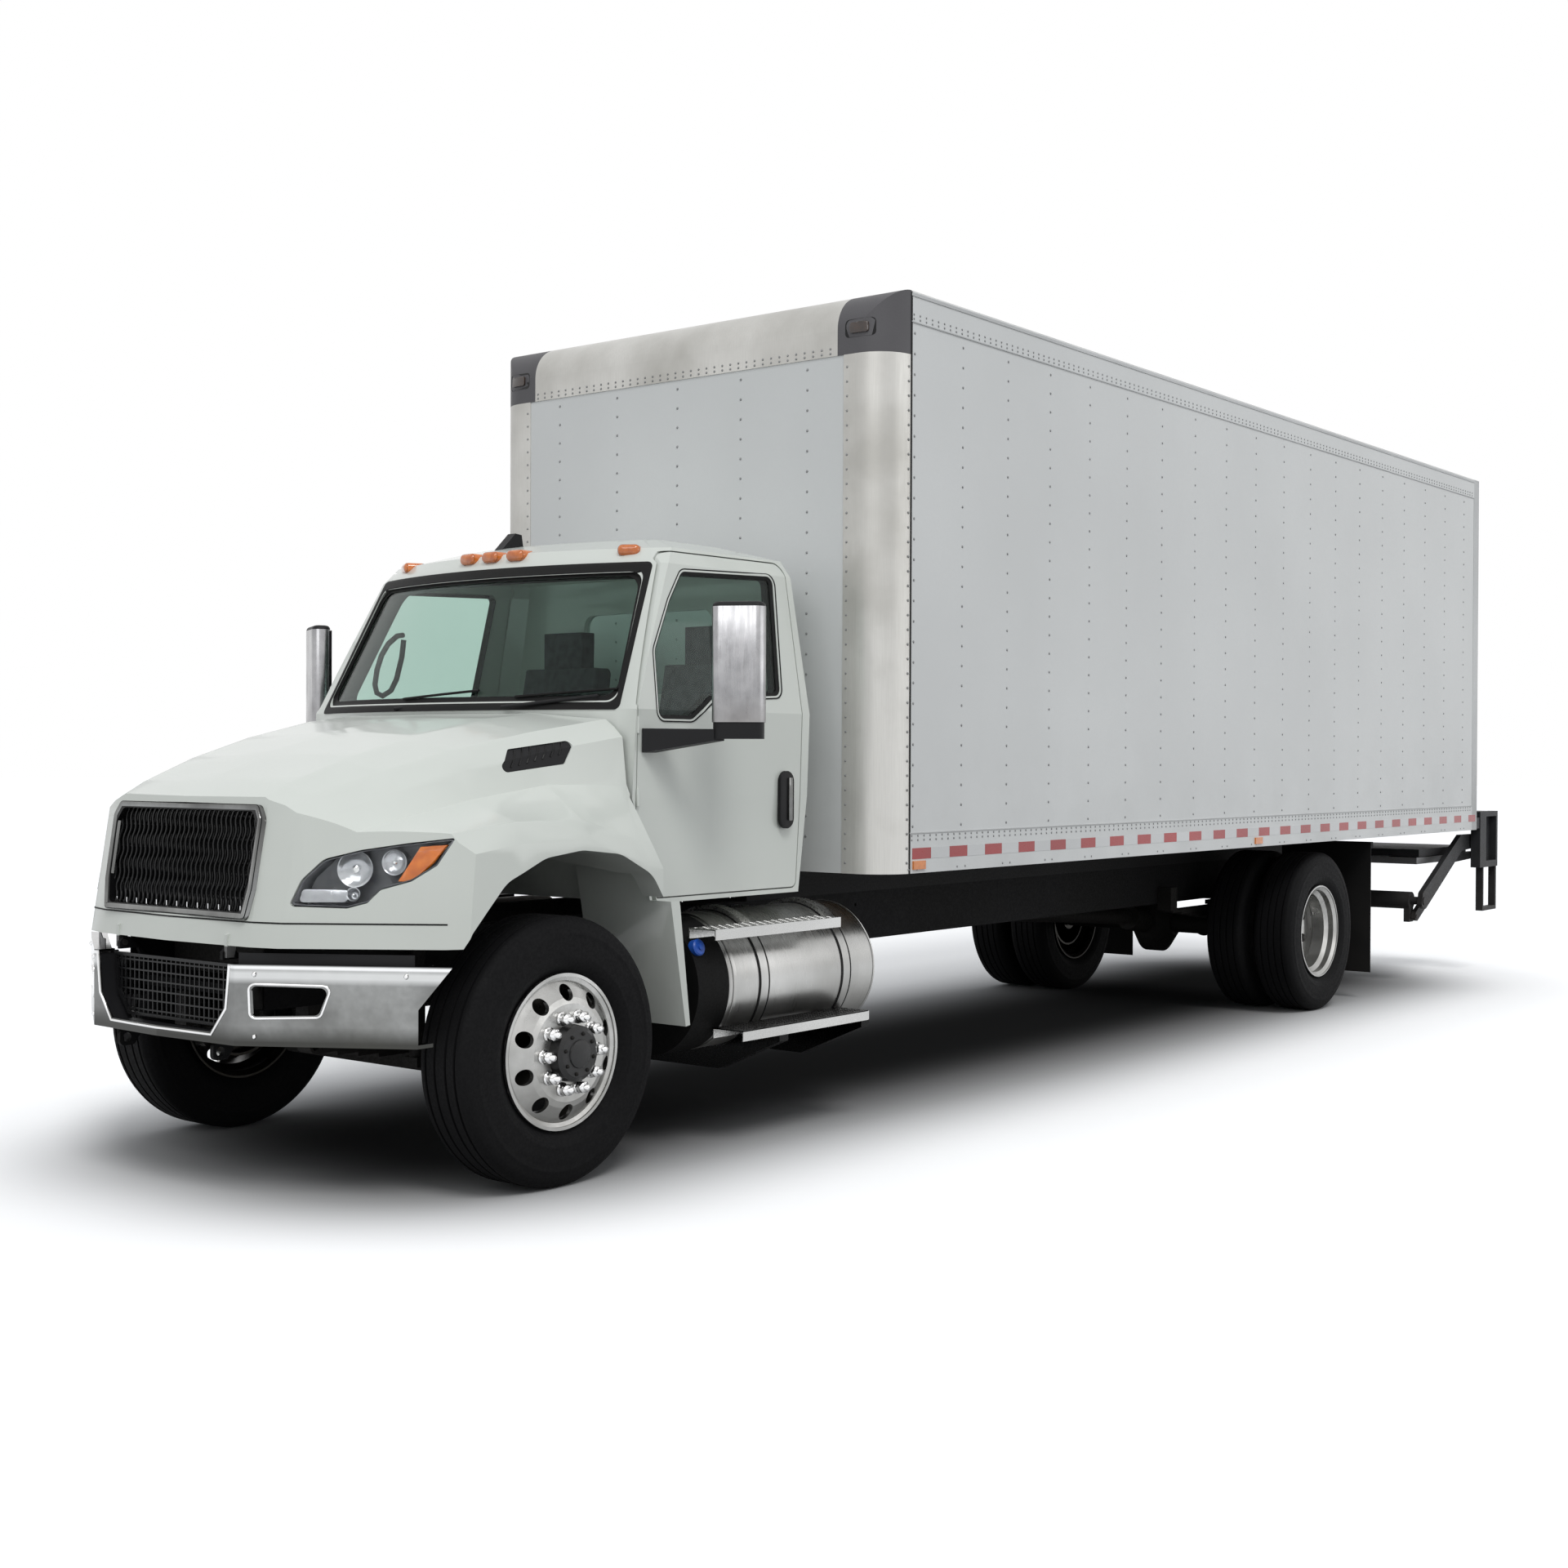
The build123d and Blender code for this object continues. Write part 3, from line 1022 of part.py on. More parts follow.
roof_sheet = box(SIDE_X0, SEAM_X, -HALF, HALF, BODY_Z1 - SHEET_T, BODY_Z1)
bows = []
bow_count = int((SEAM_X - SIDE_X0 - POST_W) / (1.5 * POST_PITCH)) + 1
for i in range(bow_count):
    x = SEAM_X - 40 - i * 1.5 * POST_PITCH
    bows.append(box(x - 20, x + 20, -INNER_Y, INNER_Y, BODY_Z1 - ROOF_T, BODY_Z1 - SHEET_T))
save("body_roof", join(roof_sheet, bows))

OPEN_Y = HALF - REAR_POST_W
OPEN_Z1 = 3700.0
rear = box(BODY_R, SIDE_X0, -HALF, HALF, BODY_Z0, BODY_Z1)
rear = rear - box(BODY_R - 10, SIDE_X0 + 10, -OPEN_Y, OPEN_Y, FLOOR_Z, OPEN_Z1)
save("body_rear_frame", rear)

PANELS = 9
PANEL_X = SIDE_X0 - DOOR_T - 12
PANEL_Z0 = FLOOR_Z + 6
PANEL_H = (OPEN_Z1 - 6 - PANEL_Z0) / PANELS
panels = []
for i in range(PANELS):
    z = PANEL_Z0 + i * PANEL_H
    panels.append(box(PANEL_X, PANEL_X + DOOR_T, -OPEN_Y + 8, OPEN_Y - 8, z, z + PANEL_H - 3))
lock_plate = box(PANEL_X - 14, PANEL_X, -110, 110, PANEL_Z0 + 60, PANEL_Z0 + 190)
save("roll_door", panels[1:], join(panels[0], lock_plate))

LAMP_OUT = 9.0
lamp_list = []
for d in (-2170.0, -5890.0):
    lamp_list.append(box(at(d) - 50, at(d) + 50, HALF, HALF + LAMP_OUT, 1150, 1190))
for y in (640.0, 780.0, 920.0):
    lamp_list.append(box(BODY_R - LAMP_OUT, BODY_R, y, y + 120, 1150, 1210))
for y in (60.0,):
    lamp_list.append(box(BODY_R - LAMP_OUT, BODY_R, y + 60, y + 160, 3760, 3800))
lamp_list.append(box(BODY_R - LAMP_OUT, BODY_R, 1215, 1280, 3740, 3800))
centre_lamp = box(BODY_R - LAMP_OUT, BODY_R, -50, 50, 3760, 3800)
save("body_lamps", [both(s) for s in lamp_list], centre_lamp)

# ---------------------------------------------------------------- lift gate
TUBE_D = -9000.0
TUBE_Z = 618.0
TUBE_R = 65.0
JOURNAL_R = 30.0
ARM_Y0 = 1165.0
ARM_Y1 = 1203.0
LINK_Y0 = 1112.0
LINK_Y1 = 1145.0
LINK_DROP = 120.0
TIP_D = -10240.0
TIP_Z = 1040.0
KNEE_D = -9800.0
KNEE_Z = 1030.0
DECK_Y = 1100.0
hang_plate = prism_y([(at(-8620), 960), (at(-8900), 960), (at(-8900), 850), (at(-9050), 720),
                      (at(-9085), 650), (at(-9085), 470), (at(-8960), 450), (at(-8800), 560),
                      (at(-8620), 740)], RAIL_OUT_Y, RAIL_OUT_Y + 14)
cross_tube = rod((at(TUBE_D), -1105, TUBE_Z), (at(TUBE_D), 1105, TUBE_Z), TUBE_R)
journal = rod((at(TUBE_D), 1105, TUBE_Z), (at(TUBE_D), ARM_Y1 + 6, TUBE_Z), JOURNAL_R)
low_lug = box(at(TUBE_D) - 40, at(TUBE_D) + 40, 1060, 1104, TUBE_Z - LINK_DROP - 40, TUBE_Z - 20)
low_pin = rod((at(TUBE_D), 1070, TUBE_Z - LINK_DROP), (at(TUBE_D), LINK_Y1 + 4,
              TUBE_Z - LINK_DROP), 16)
save("gate_frame", join(cross_tube, both(journal), both(hang_plate), both(low_lug),
                        both(low_pin)))


def boomerang(drop, w, y0, y1, pin0, pin1):
    """Cranked arm between a frame pivot and the tip, lowered by drop."""
    p = (at(TUBE_D), TUBE_Z - drop)
    k = (at(KNEE_D), KNEE_Z - drop)
    t = (at(TIP_D), TIP_Z - drop)
    pts = [(p[0] + w * 0.4, p[1] + w), (k[0] + w * 0.2, k[1] + w), (t[0] - w * 0.6, t[1] + w * 0.8),
           (t[0] - w * 0.6, t[1] - w * 0.8), (k[0] - w * 0.2, k[1] - w),
           (p[0] - w * 0.5, p[1] - w), (p[0] + w * 0.9, p[1] - w * 0.6)]
    body = prism_y(pts, y0, y1, [w * 0.4] * 7)
    body = body - rod((p[0], y0 - 5, p[1]), (p[0], y1 + 5, p[1]), pin0 + 0.4)
    return body - rod((t[0], y0 - 5, t[1]), (t[0], y1 + 5, t[1]), pin1 + 0.4)


TIP_PIN = 18.0
arm_l = boomerang(0, 62, ARM_Y0, ARM_Y1, JOURNAL_R, TIP_PIN)
link_l = boomerang(LINK_DROP, 34, LINK_Y0, LINK_Y1, 16, 12)
arm_bar = rod((at(-9600), -ARM_Y0, 938), (at(-9600), ARM_Y0, 938), 20)
save("gate_arms", both(arm_l))
save("gate_links", both(link_l))
carriage = prism_y([(at(TIP_D) + 36, TIP_Z + 40), (at(TIP_D) - 40, TIP_Z + 40),
                    (at(TIP_D) - 40, TIP_Z - LINK_DROP - 36),
                    (at(TIP_D) + 36, TIP_Z - LINK_DROP - 36)], 1148, 1160, [20, 20, 20, 20])
tip_pin = rod((at(TIP_D), 1148, TIP_Z), (at(TIP_D), ARM_Y1 + 6, TIP_Z), TIP_PIN)
link_pin = rod((at(TIP_D), LINK_Y0 - 4, TIP_Z - LINK_DROP), (at(TIP_D), 1150, TIP_Z - LINK_DROP),
               12)
deck_pin = rod((at(TIP_D), 1030, TIP_Z), (at(TIP_D), 1150, TIP_Z), 14)
carriages = both(join(carriage, tip_pin, link_pin, deck_pin))

DECK_L = 1080.0
DECK_OFF = 100.0
DECK_T = 55.0
FLAP_T = 50.0
FLAP_L = 800.0
deck_x0 = at(TIP_D) + 50
deck_z1 = TIP_Z - DECK_OFF + DECK_T
deck = box(deck_x0, at(TIP_D) + DECK_L, -DECK_Y, DECK_Y, TIP_Z - DECK_OFF, deck_z1)
ear = prism_y([(at(TIP_D) - 22, TIP_Z - 22), (at(TIP_D) - 22, TIP_Z + 22),
               (at(TIP_D) + 26, TIP_Z + 22), (at(TIP_D) + 130, deck_z1), (deck_x0, deck_z1 - 40),
               (at(TIP_D) + 22, TIP_Z - 22)], 1040, DECK_Y)
save("gate_platform", join(deck, both(ear), carriages))
flap_z1 = TIP_Z - DECK_OFF - 8
gate_flap = box(at(TIP_D) + DECK_L - FLAP_L, at(TIP_D) + DECK_L - 6, -DECK_Y + 20, DECK_Y - 20,
                flap_z1 - FLAP_T, flap_z1)
flap_hinge = []
for y in (-800.0, 0.0, 800.0):
    flap_hinge.append(box(at(TIP_D) + DECK_L - 80, at(TIP_D) + DECK_L - 10, y - 60, y + 60,
                          flap_z1, TIP_Z - DECK_OFF))
save("gate_flap", join(gate_flap, flap_hinge))

# dock bumpers, steps and the extension plate behind the sill
DOCK_D = -10380.0
DOCK_Y0 = 1215.0
DOCK_Y1 = 1290.0
ext_plate = box(at(-10330), BODY_R - LAMP_OUT - 1, -DOCK_Y0, DOCK_Y0, 1225, FLOOR_Z)
ext_fix = box(BODY_R - LAMP_OUT - 1, BODY_R, -600, 600, 1225, FLOOR_Z)
dock = box(at(DOCK_D), at(-9970), DOCK_Y0, DOCK_Y1, 830, FLOOR_Z)
dock = dock - box(at(-10345), at(-10110), DOCK_Y0 + 20, DOCK_Y1 + 5, 880, 1230)
dock_fix = box(at(-9970), BODY_R, DOCK_Y0 + 5, DOCK_Y1 - 5, 1140, 1225)
brace = prism_y([(at(-9720), 1128), (at(-9770), 1128), (at(-10062), 860), (at(-10062), 900)],
                DOCK_Y1 - 30, DOCK_Y1 - 5)
step_a = box(at(-10085), at(-10062), DOCK_Y0 + 10, DOCK_Y1 - 10, 485, 830)
step_b = box(at(-10380), at(-10355), DOCK_Y0 + 10, DOCK_Y1 - 10, 485, 830)
step_c = box(at(-10380), at(-10062), DOCK_Y0 + 10, DOCK_Y1 - 10, 485, 515)
dock_left = join(dock, dock_fix, brace, step_a, step_b, step_c)
save("dock_steps", join(ext_plate, ext_fix), both(dock_left))
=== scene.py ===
"""Looks of a conventional-cab box truck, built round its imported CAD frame."""

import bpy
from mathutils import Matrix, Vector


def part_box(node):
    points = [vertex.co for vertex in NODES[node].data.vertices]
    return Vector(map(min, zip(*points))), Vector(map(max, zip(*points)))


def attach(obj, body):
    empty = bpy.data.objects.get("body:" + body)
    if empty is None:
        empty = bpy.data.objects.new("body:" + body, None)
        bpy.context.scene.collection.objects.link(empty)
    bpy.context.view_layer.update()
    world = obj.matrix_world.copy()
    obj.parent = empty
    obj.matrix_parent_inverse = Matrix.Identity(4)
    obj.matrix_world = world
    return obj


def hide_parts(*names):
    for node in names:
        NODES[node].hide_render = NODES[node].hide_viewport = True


bl_info = {
    "name": "Box truck looks",
    "version": (1, 0, 0),
    "blender": (4, 5, 0),
    "location": "View3D > Sidebar > Truck",
    "description": "Finishes and fine pieces of a box truck with a lift gate",
    "category": "Object",
}

import math

import bmesh
import bpy
from mathutils import Matrix, Vector
from mathutils.bvhtree import BVHTree

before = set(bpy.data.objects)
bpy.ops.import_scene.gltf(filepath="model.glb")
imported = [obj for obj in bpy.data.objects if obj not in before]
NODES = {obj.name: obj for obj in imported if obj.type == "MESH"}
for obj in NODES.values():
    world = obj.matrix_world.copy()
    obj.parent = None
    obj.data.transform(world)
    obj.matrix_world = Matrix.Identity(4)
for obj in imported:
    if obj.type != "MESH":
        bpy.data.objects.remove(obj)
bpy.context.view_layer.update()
AXLE_X = (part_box("tyre_front_left")[0].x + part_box("tyre_front_left")[1].x) / 2
REAR_X = (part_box("tyre_rear_left")[0].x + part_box("tyre_rear_left")[1].x) / 2
TYRE_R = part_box("tyre_front_left")[1].z / 2
WHEEL_Y = (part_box("tyre_front_left")[0].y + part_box("tyre_front_left")[1].y) / 2
DUAL_OUT_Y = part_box("tyre_rear_left")[1].y
DUAL_IN_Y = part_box("tyre_rear_left")[0].y
SIDE_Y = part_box("body_side_left")[1].y
BODY_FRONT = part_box("body_nose")[1].x
BODY_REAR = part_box("body_rear_frame")[0].x
BODY_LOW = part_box("body_side_left")[0].z
BODY_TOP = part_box("body_roof")[1].z


def station(d):
    """X of a station d metres ahead of the front axle."""
    return AXLE_X + d


# ------------------------------------------------------------------ settings
class TruckBodySettings(bpy.types.PropertyGroup):
    rivet_radius: bpy.props.FloatProperty(
        name="Rivet radius", description="Radius of a body rivet's head",
        default=0.0068, min=0.002, max=0.02, subtype="DISTANCE", unit="LENGTH")
    rivet_pitch: bpy.props.FloatProperty(
        name="Rivet pitch", description="Distance between rivets up a body post",
        default=0.096, min=0.02, max=0.5, subtype="DISTANCE", unit="LENGTH")
    rail_pitch: bpy.props.FloatProperty(
        name="Rail rivet pitch", description="Distance between rivets along the body rails",
        default=0.051, min=0.02, max=0.5, subtype="DISTANCE", unit="LENGTH")
    post_pitch: bpy.props.FloatProperty(
        name="Post pitch", description="Distance between the body's side posts",
        default=0.412, min=0.2, max=1.0, subtype="DISTANCE", unit="LENGTH")
    tape_pitch: bpy.props.FloatProperty(
        name="Tape pitch", description="Distance between red blocks of the marking tape",
        default=0.315, min=0.1, max=1.0, subtype="DISTANCE", unit="LENGTH")
    tape_block: bpy.props.FloatProperty(
        name="Tape block", description="Length of one red block of the marking tape",
        default=0.155, min=0.05, max=0.5, subtype="DISTANCE", unit="LENGTH")
    panel_colour: bpy.props.FloatVectorProperty(
        name="Panel colour", description="Colour of the body's sheets",
        default=(0.68, 0.695, 0.69), size=3, min=0, max=1, subtype="COLOR")


class TruckCabSettings(bpy.types.PropertyGroup):
    paint_colour: bpy.props.FloatVectorProperty(
        name="Cab paint", description="Colour of the cab and the hood",
        default=(0.63, 0.66, 0.615), size=3, min=0, max=1, subtype="COLOR")
    glass_colour: bpy.props.FloatVectorProperty(
        name="Glass tint", description="Tint of the cab's windows",
        default=(0.62, 0.75, 0.70), size=3, min=0, max=1, subtype="COLOR")
    seal_width: bpy.props.FloatProperty(
        name="Seal width", description="Width of the rubber round the door windows",
        default=0.030, min=0.005, max=0.1, subtype="DISTANCE", unit="LENGTH")


class TruckWheelSettings(bpy.types.PropertyGroup):
    groove_depth: bpy.props.FloatProperty(
        name="Groove depth", description="Depth of the tyre tread's grooves",
        default=0.012, min=0.002, max=0.03, subtype="DISTANCE", unit="LENGTH")
    nut_circle: bpy.props.FloatProperty(
        name="Nut circle", description="Radius of the circle of wheel nuts",
        default=0.1429, min=0.05, max=0.3, subtype="DISTANCE", unit="LENGTH")
    tread_bar: bpy.props.FloatProperty(
        name="Tread bar", description="Length of one raised bar of the step plates",
        default=0.030, min=0.01, max=0.06, subtype="DISTANCE", unit="LENGTH")


# ------------------------------------------------------------------ finishes
def links(tree):
    """Short way to add and join a tree's nodes."""
    def add(kind, **values):
        node = tree.nodes.new(kind)
        for key, value in values.items():
            setattr(node, key, value)
        return node

    def join(a, b):
        tree.links.new(a, b)

    return add, join


def ranged(tree, value, low, high, out_low, out_high):
    """A value carried from low..high to out_low..out_high, and held there beyond."""
    add, join = links(tree)
    node = add("ShaderNodeMapRange")
    join(value, node.inputs["Value"])
    node.inputs["From Min"].default_value = low
    node.inputs["From Max"].default_value = high
    node.inputs["To Min"].default_value = out_low
    node.inputs["To Max"].default_value = out_high
    return node.outputs["Result"]


def mixed(tree, factor, a, b):
    """Colour a where the factor is 0 and b where it is 1; a and b are sockets or colours."""
    add, join = links(tree)
    node = add("ShaderNodeMix", data_type="RGBA")
    join(factor, node.inputs["Factor"])
    for socket, value in ((node.inputs["A"], a), (node.inputs["B"], b)):
        if isinstance(value, bpy.types.NodeSocket):
            join(value, socket)
        else:
            socket.default_value = (*value[:3], 1)
    return node.outputs["Result"]


def maths(tree, kind, a, b=0.0):
    """One sum of a shader; a and b are sockets or numbers."""
    add, join = links(tree)
    node = add("ShaderNodeMath", operation=kind)
    for socket, value in ((node.inputs[0], a), (node.inputs[1], b)):
        if isinstance(value, bpy.types.NodeSocket):
            join(value, socket)
        else:
            socket.default_value = value
    return node.outputs[0]


def seen_directly(tree):
    """1 for rays from the camera, off a mirror or through glass, and 0 for soft light."""
    add, _ = links(tree)
    path = add("ShaderNodeLightPath")
    return maths(tree, "MAXIMUM", path.outputs["Is Camera Ray"],
                 maths(tree, "MAXIMUM", path.outputs["Is Glossy Ray"],
                       path.outputs["Is Transmission Ray"]))


def noise(tree, coords, scale, detail, stretch=(1, 1, 1)):
    """Cloudy pattern from 0 to 1, made finer along the axes that are stretched."""
    add, join = links(tree)
    mapping = add("ShaderNodeMapping")
    mapping.inputs["Scale"].default_value = stretch
    join(coords, mapping.inputs["Vector"])
    node = add("ShaderNodeTexNoise")
    node.inputs["Scale"].default_value = scale
    node.inputs["Detail"].default_value = detail
    join(mapping.outputs["Vector"], node.inputs["Vector"])
    return node.outputs["Fac"]


def finish(name, light, dark, metallic=0.0, rough=(0.35, 0.5), patch=1.2, grain=60.0,
           stretch=(1, 1, 1), bump=0.1, depth=0.0004, dirt=None, coat=0.0, coat_rough=0.05,
           transmission=0.0, ior=1.45, regions=(), patch_range=(0.35, 0.65), specular=0.5):
    """A worn finish: patchy colour, grainy roughness and bump, and dirt that rises from below.

    regions are (axis, low, high, colour, edge) bands that are painted another colour: the part's
    own colour on some finishes, painted shade, highlights and reflections on others.
    """
    material = bpy.data.materials.new(name)
    material.use_nodes = True
    tree = material.node_tree
    add, join = links(tree)
    shader = tree.nodes["Principled BSDF"]
    coords = add("ShaderNodeTexCoord").outputs["Object"]
    cloud = noise(tree, coords, patch, 5.0)
    fine = noise(tree, coords, grain, 3.0, stretch)
    factor = ranged(tree, cloud, patch_range[0], patch_range[1], 0, 1)
    colour = mixed(tree, factor, dark, light)
    colour = mixed(tree, ranged(tree, fine, 0.3, 0.7, 0.0, 0.25), colour, dark)
    xyz = add("ShaderNodeSeparateXYZ")
    join(coords, xyz.inputs[0])
    for axis, low, high, tone, edge in regions:
        value = xyz.outputs[axis]
        inside = maths(tree, "MULTIPLY", ranged(tree, value, low - edge, low + edge, 0, 1),
                       ranged(tree, value, high - edge, high + edge, 1, 0))
        colour = mixed(tree, inside, colour, tone)
    roughness = ranged(tree, fine, 0.3, 0.7, rough[0], rough[1])
    if dirt:
        z0, z1, amount, tone = dirt
        height = ranged(tree, xyz.outputs["Z"], z0, z1, amount, 0.0)
        splash = ranged(tree, noise(tree, coords, 3.0, 8.0), 0.35, 0.7, 0.2, 1.0)
        soil = maths(tree, "MULTIPLY", height, splash)
        colour = mixed(tree, soil, colour, tone)
        roughness = maths(tree, "ADD", roughness, maths(tree, "MULTIPLY", soil, 0.4))
    join(colour, shader.inputs["Base Color"])
    join(roughness, shader.inputs["Roughness"])
    shader.inputs["Metallic"].default_value = metallic
    shader.inputs["Coat Weight"].default_value = coat
    shader.inputs["Coat Roughness"].default_value = coat_rough
    shader.inputs["Transmission Weight"].default_value = transmission
    shader.inputs["IOR"].default_value = ior
    shader.inputs["Specular IOR Level"].default_value = specular
    relief = add("ShaderNodeBump")
    relief.inputs["Strength"].default_value = bump
    relief.inputs["Distance"].default_value = depth
    join(fine, relief.inputs["Height"])
    join(relief.outputs["Normal"], shader.inputs["Normal"])
    return material


def brushed(name, light, dark, stretch, rough, dirt=None, metallic=1.0):
    """Brushed or spun metal, whose fine scratches run along one direction."""
    return finish(name, light, dark, metallic=metallic, rough=rough, patch=2.0, grain=9.0,
                  stretch=stretch, bump=0.05, depth=0.0003, dirt=dirt)


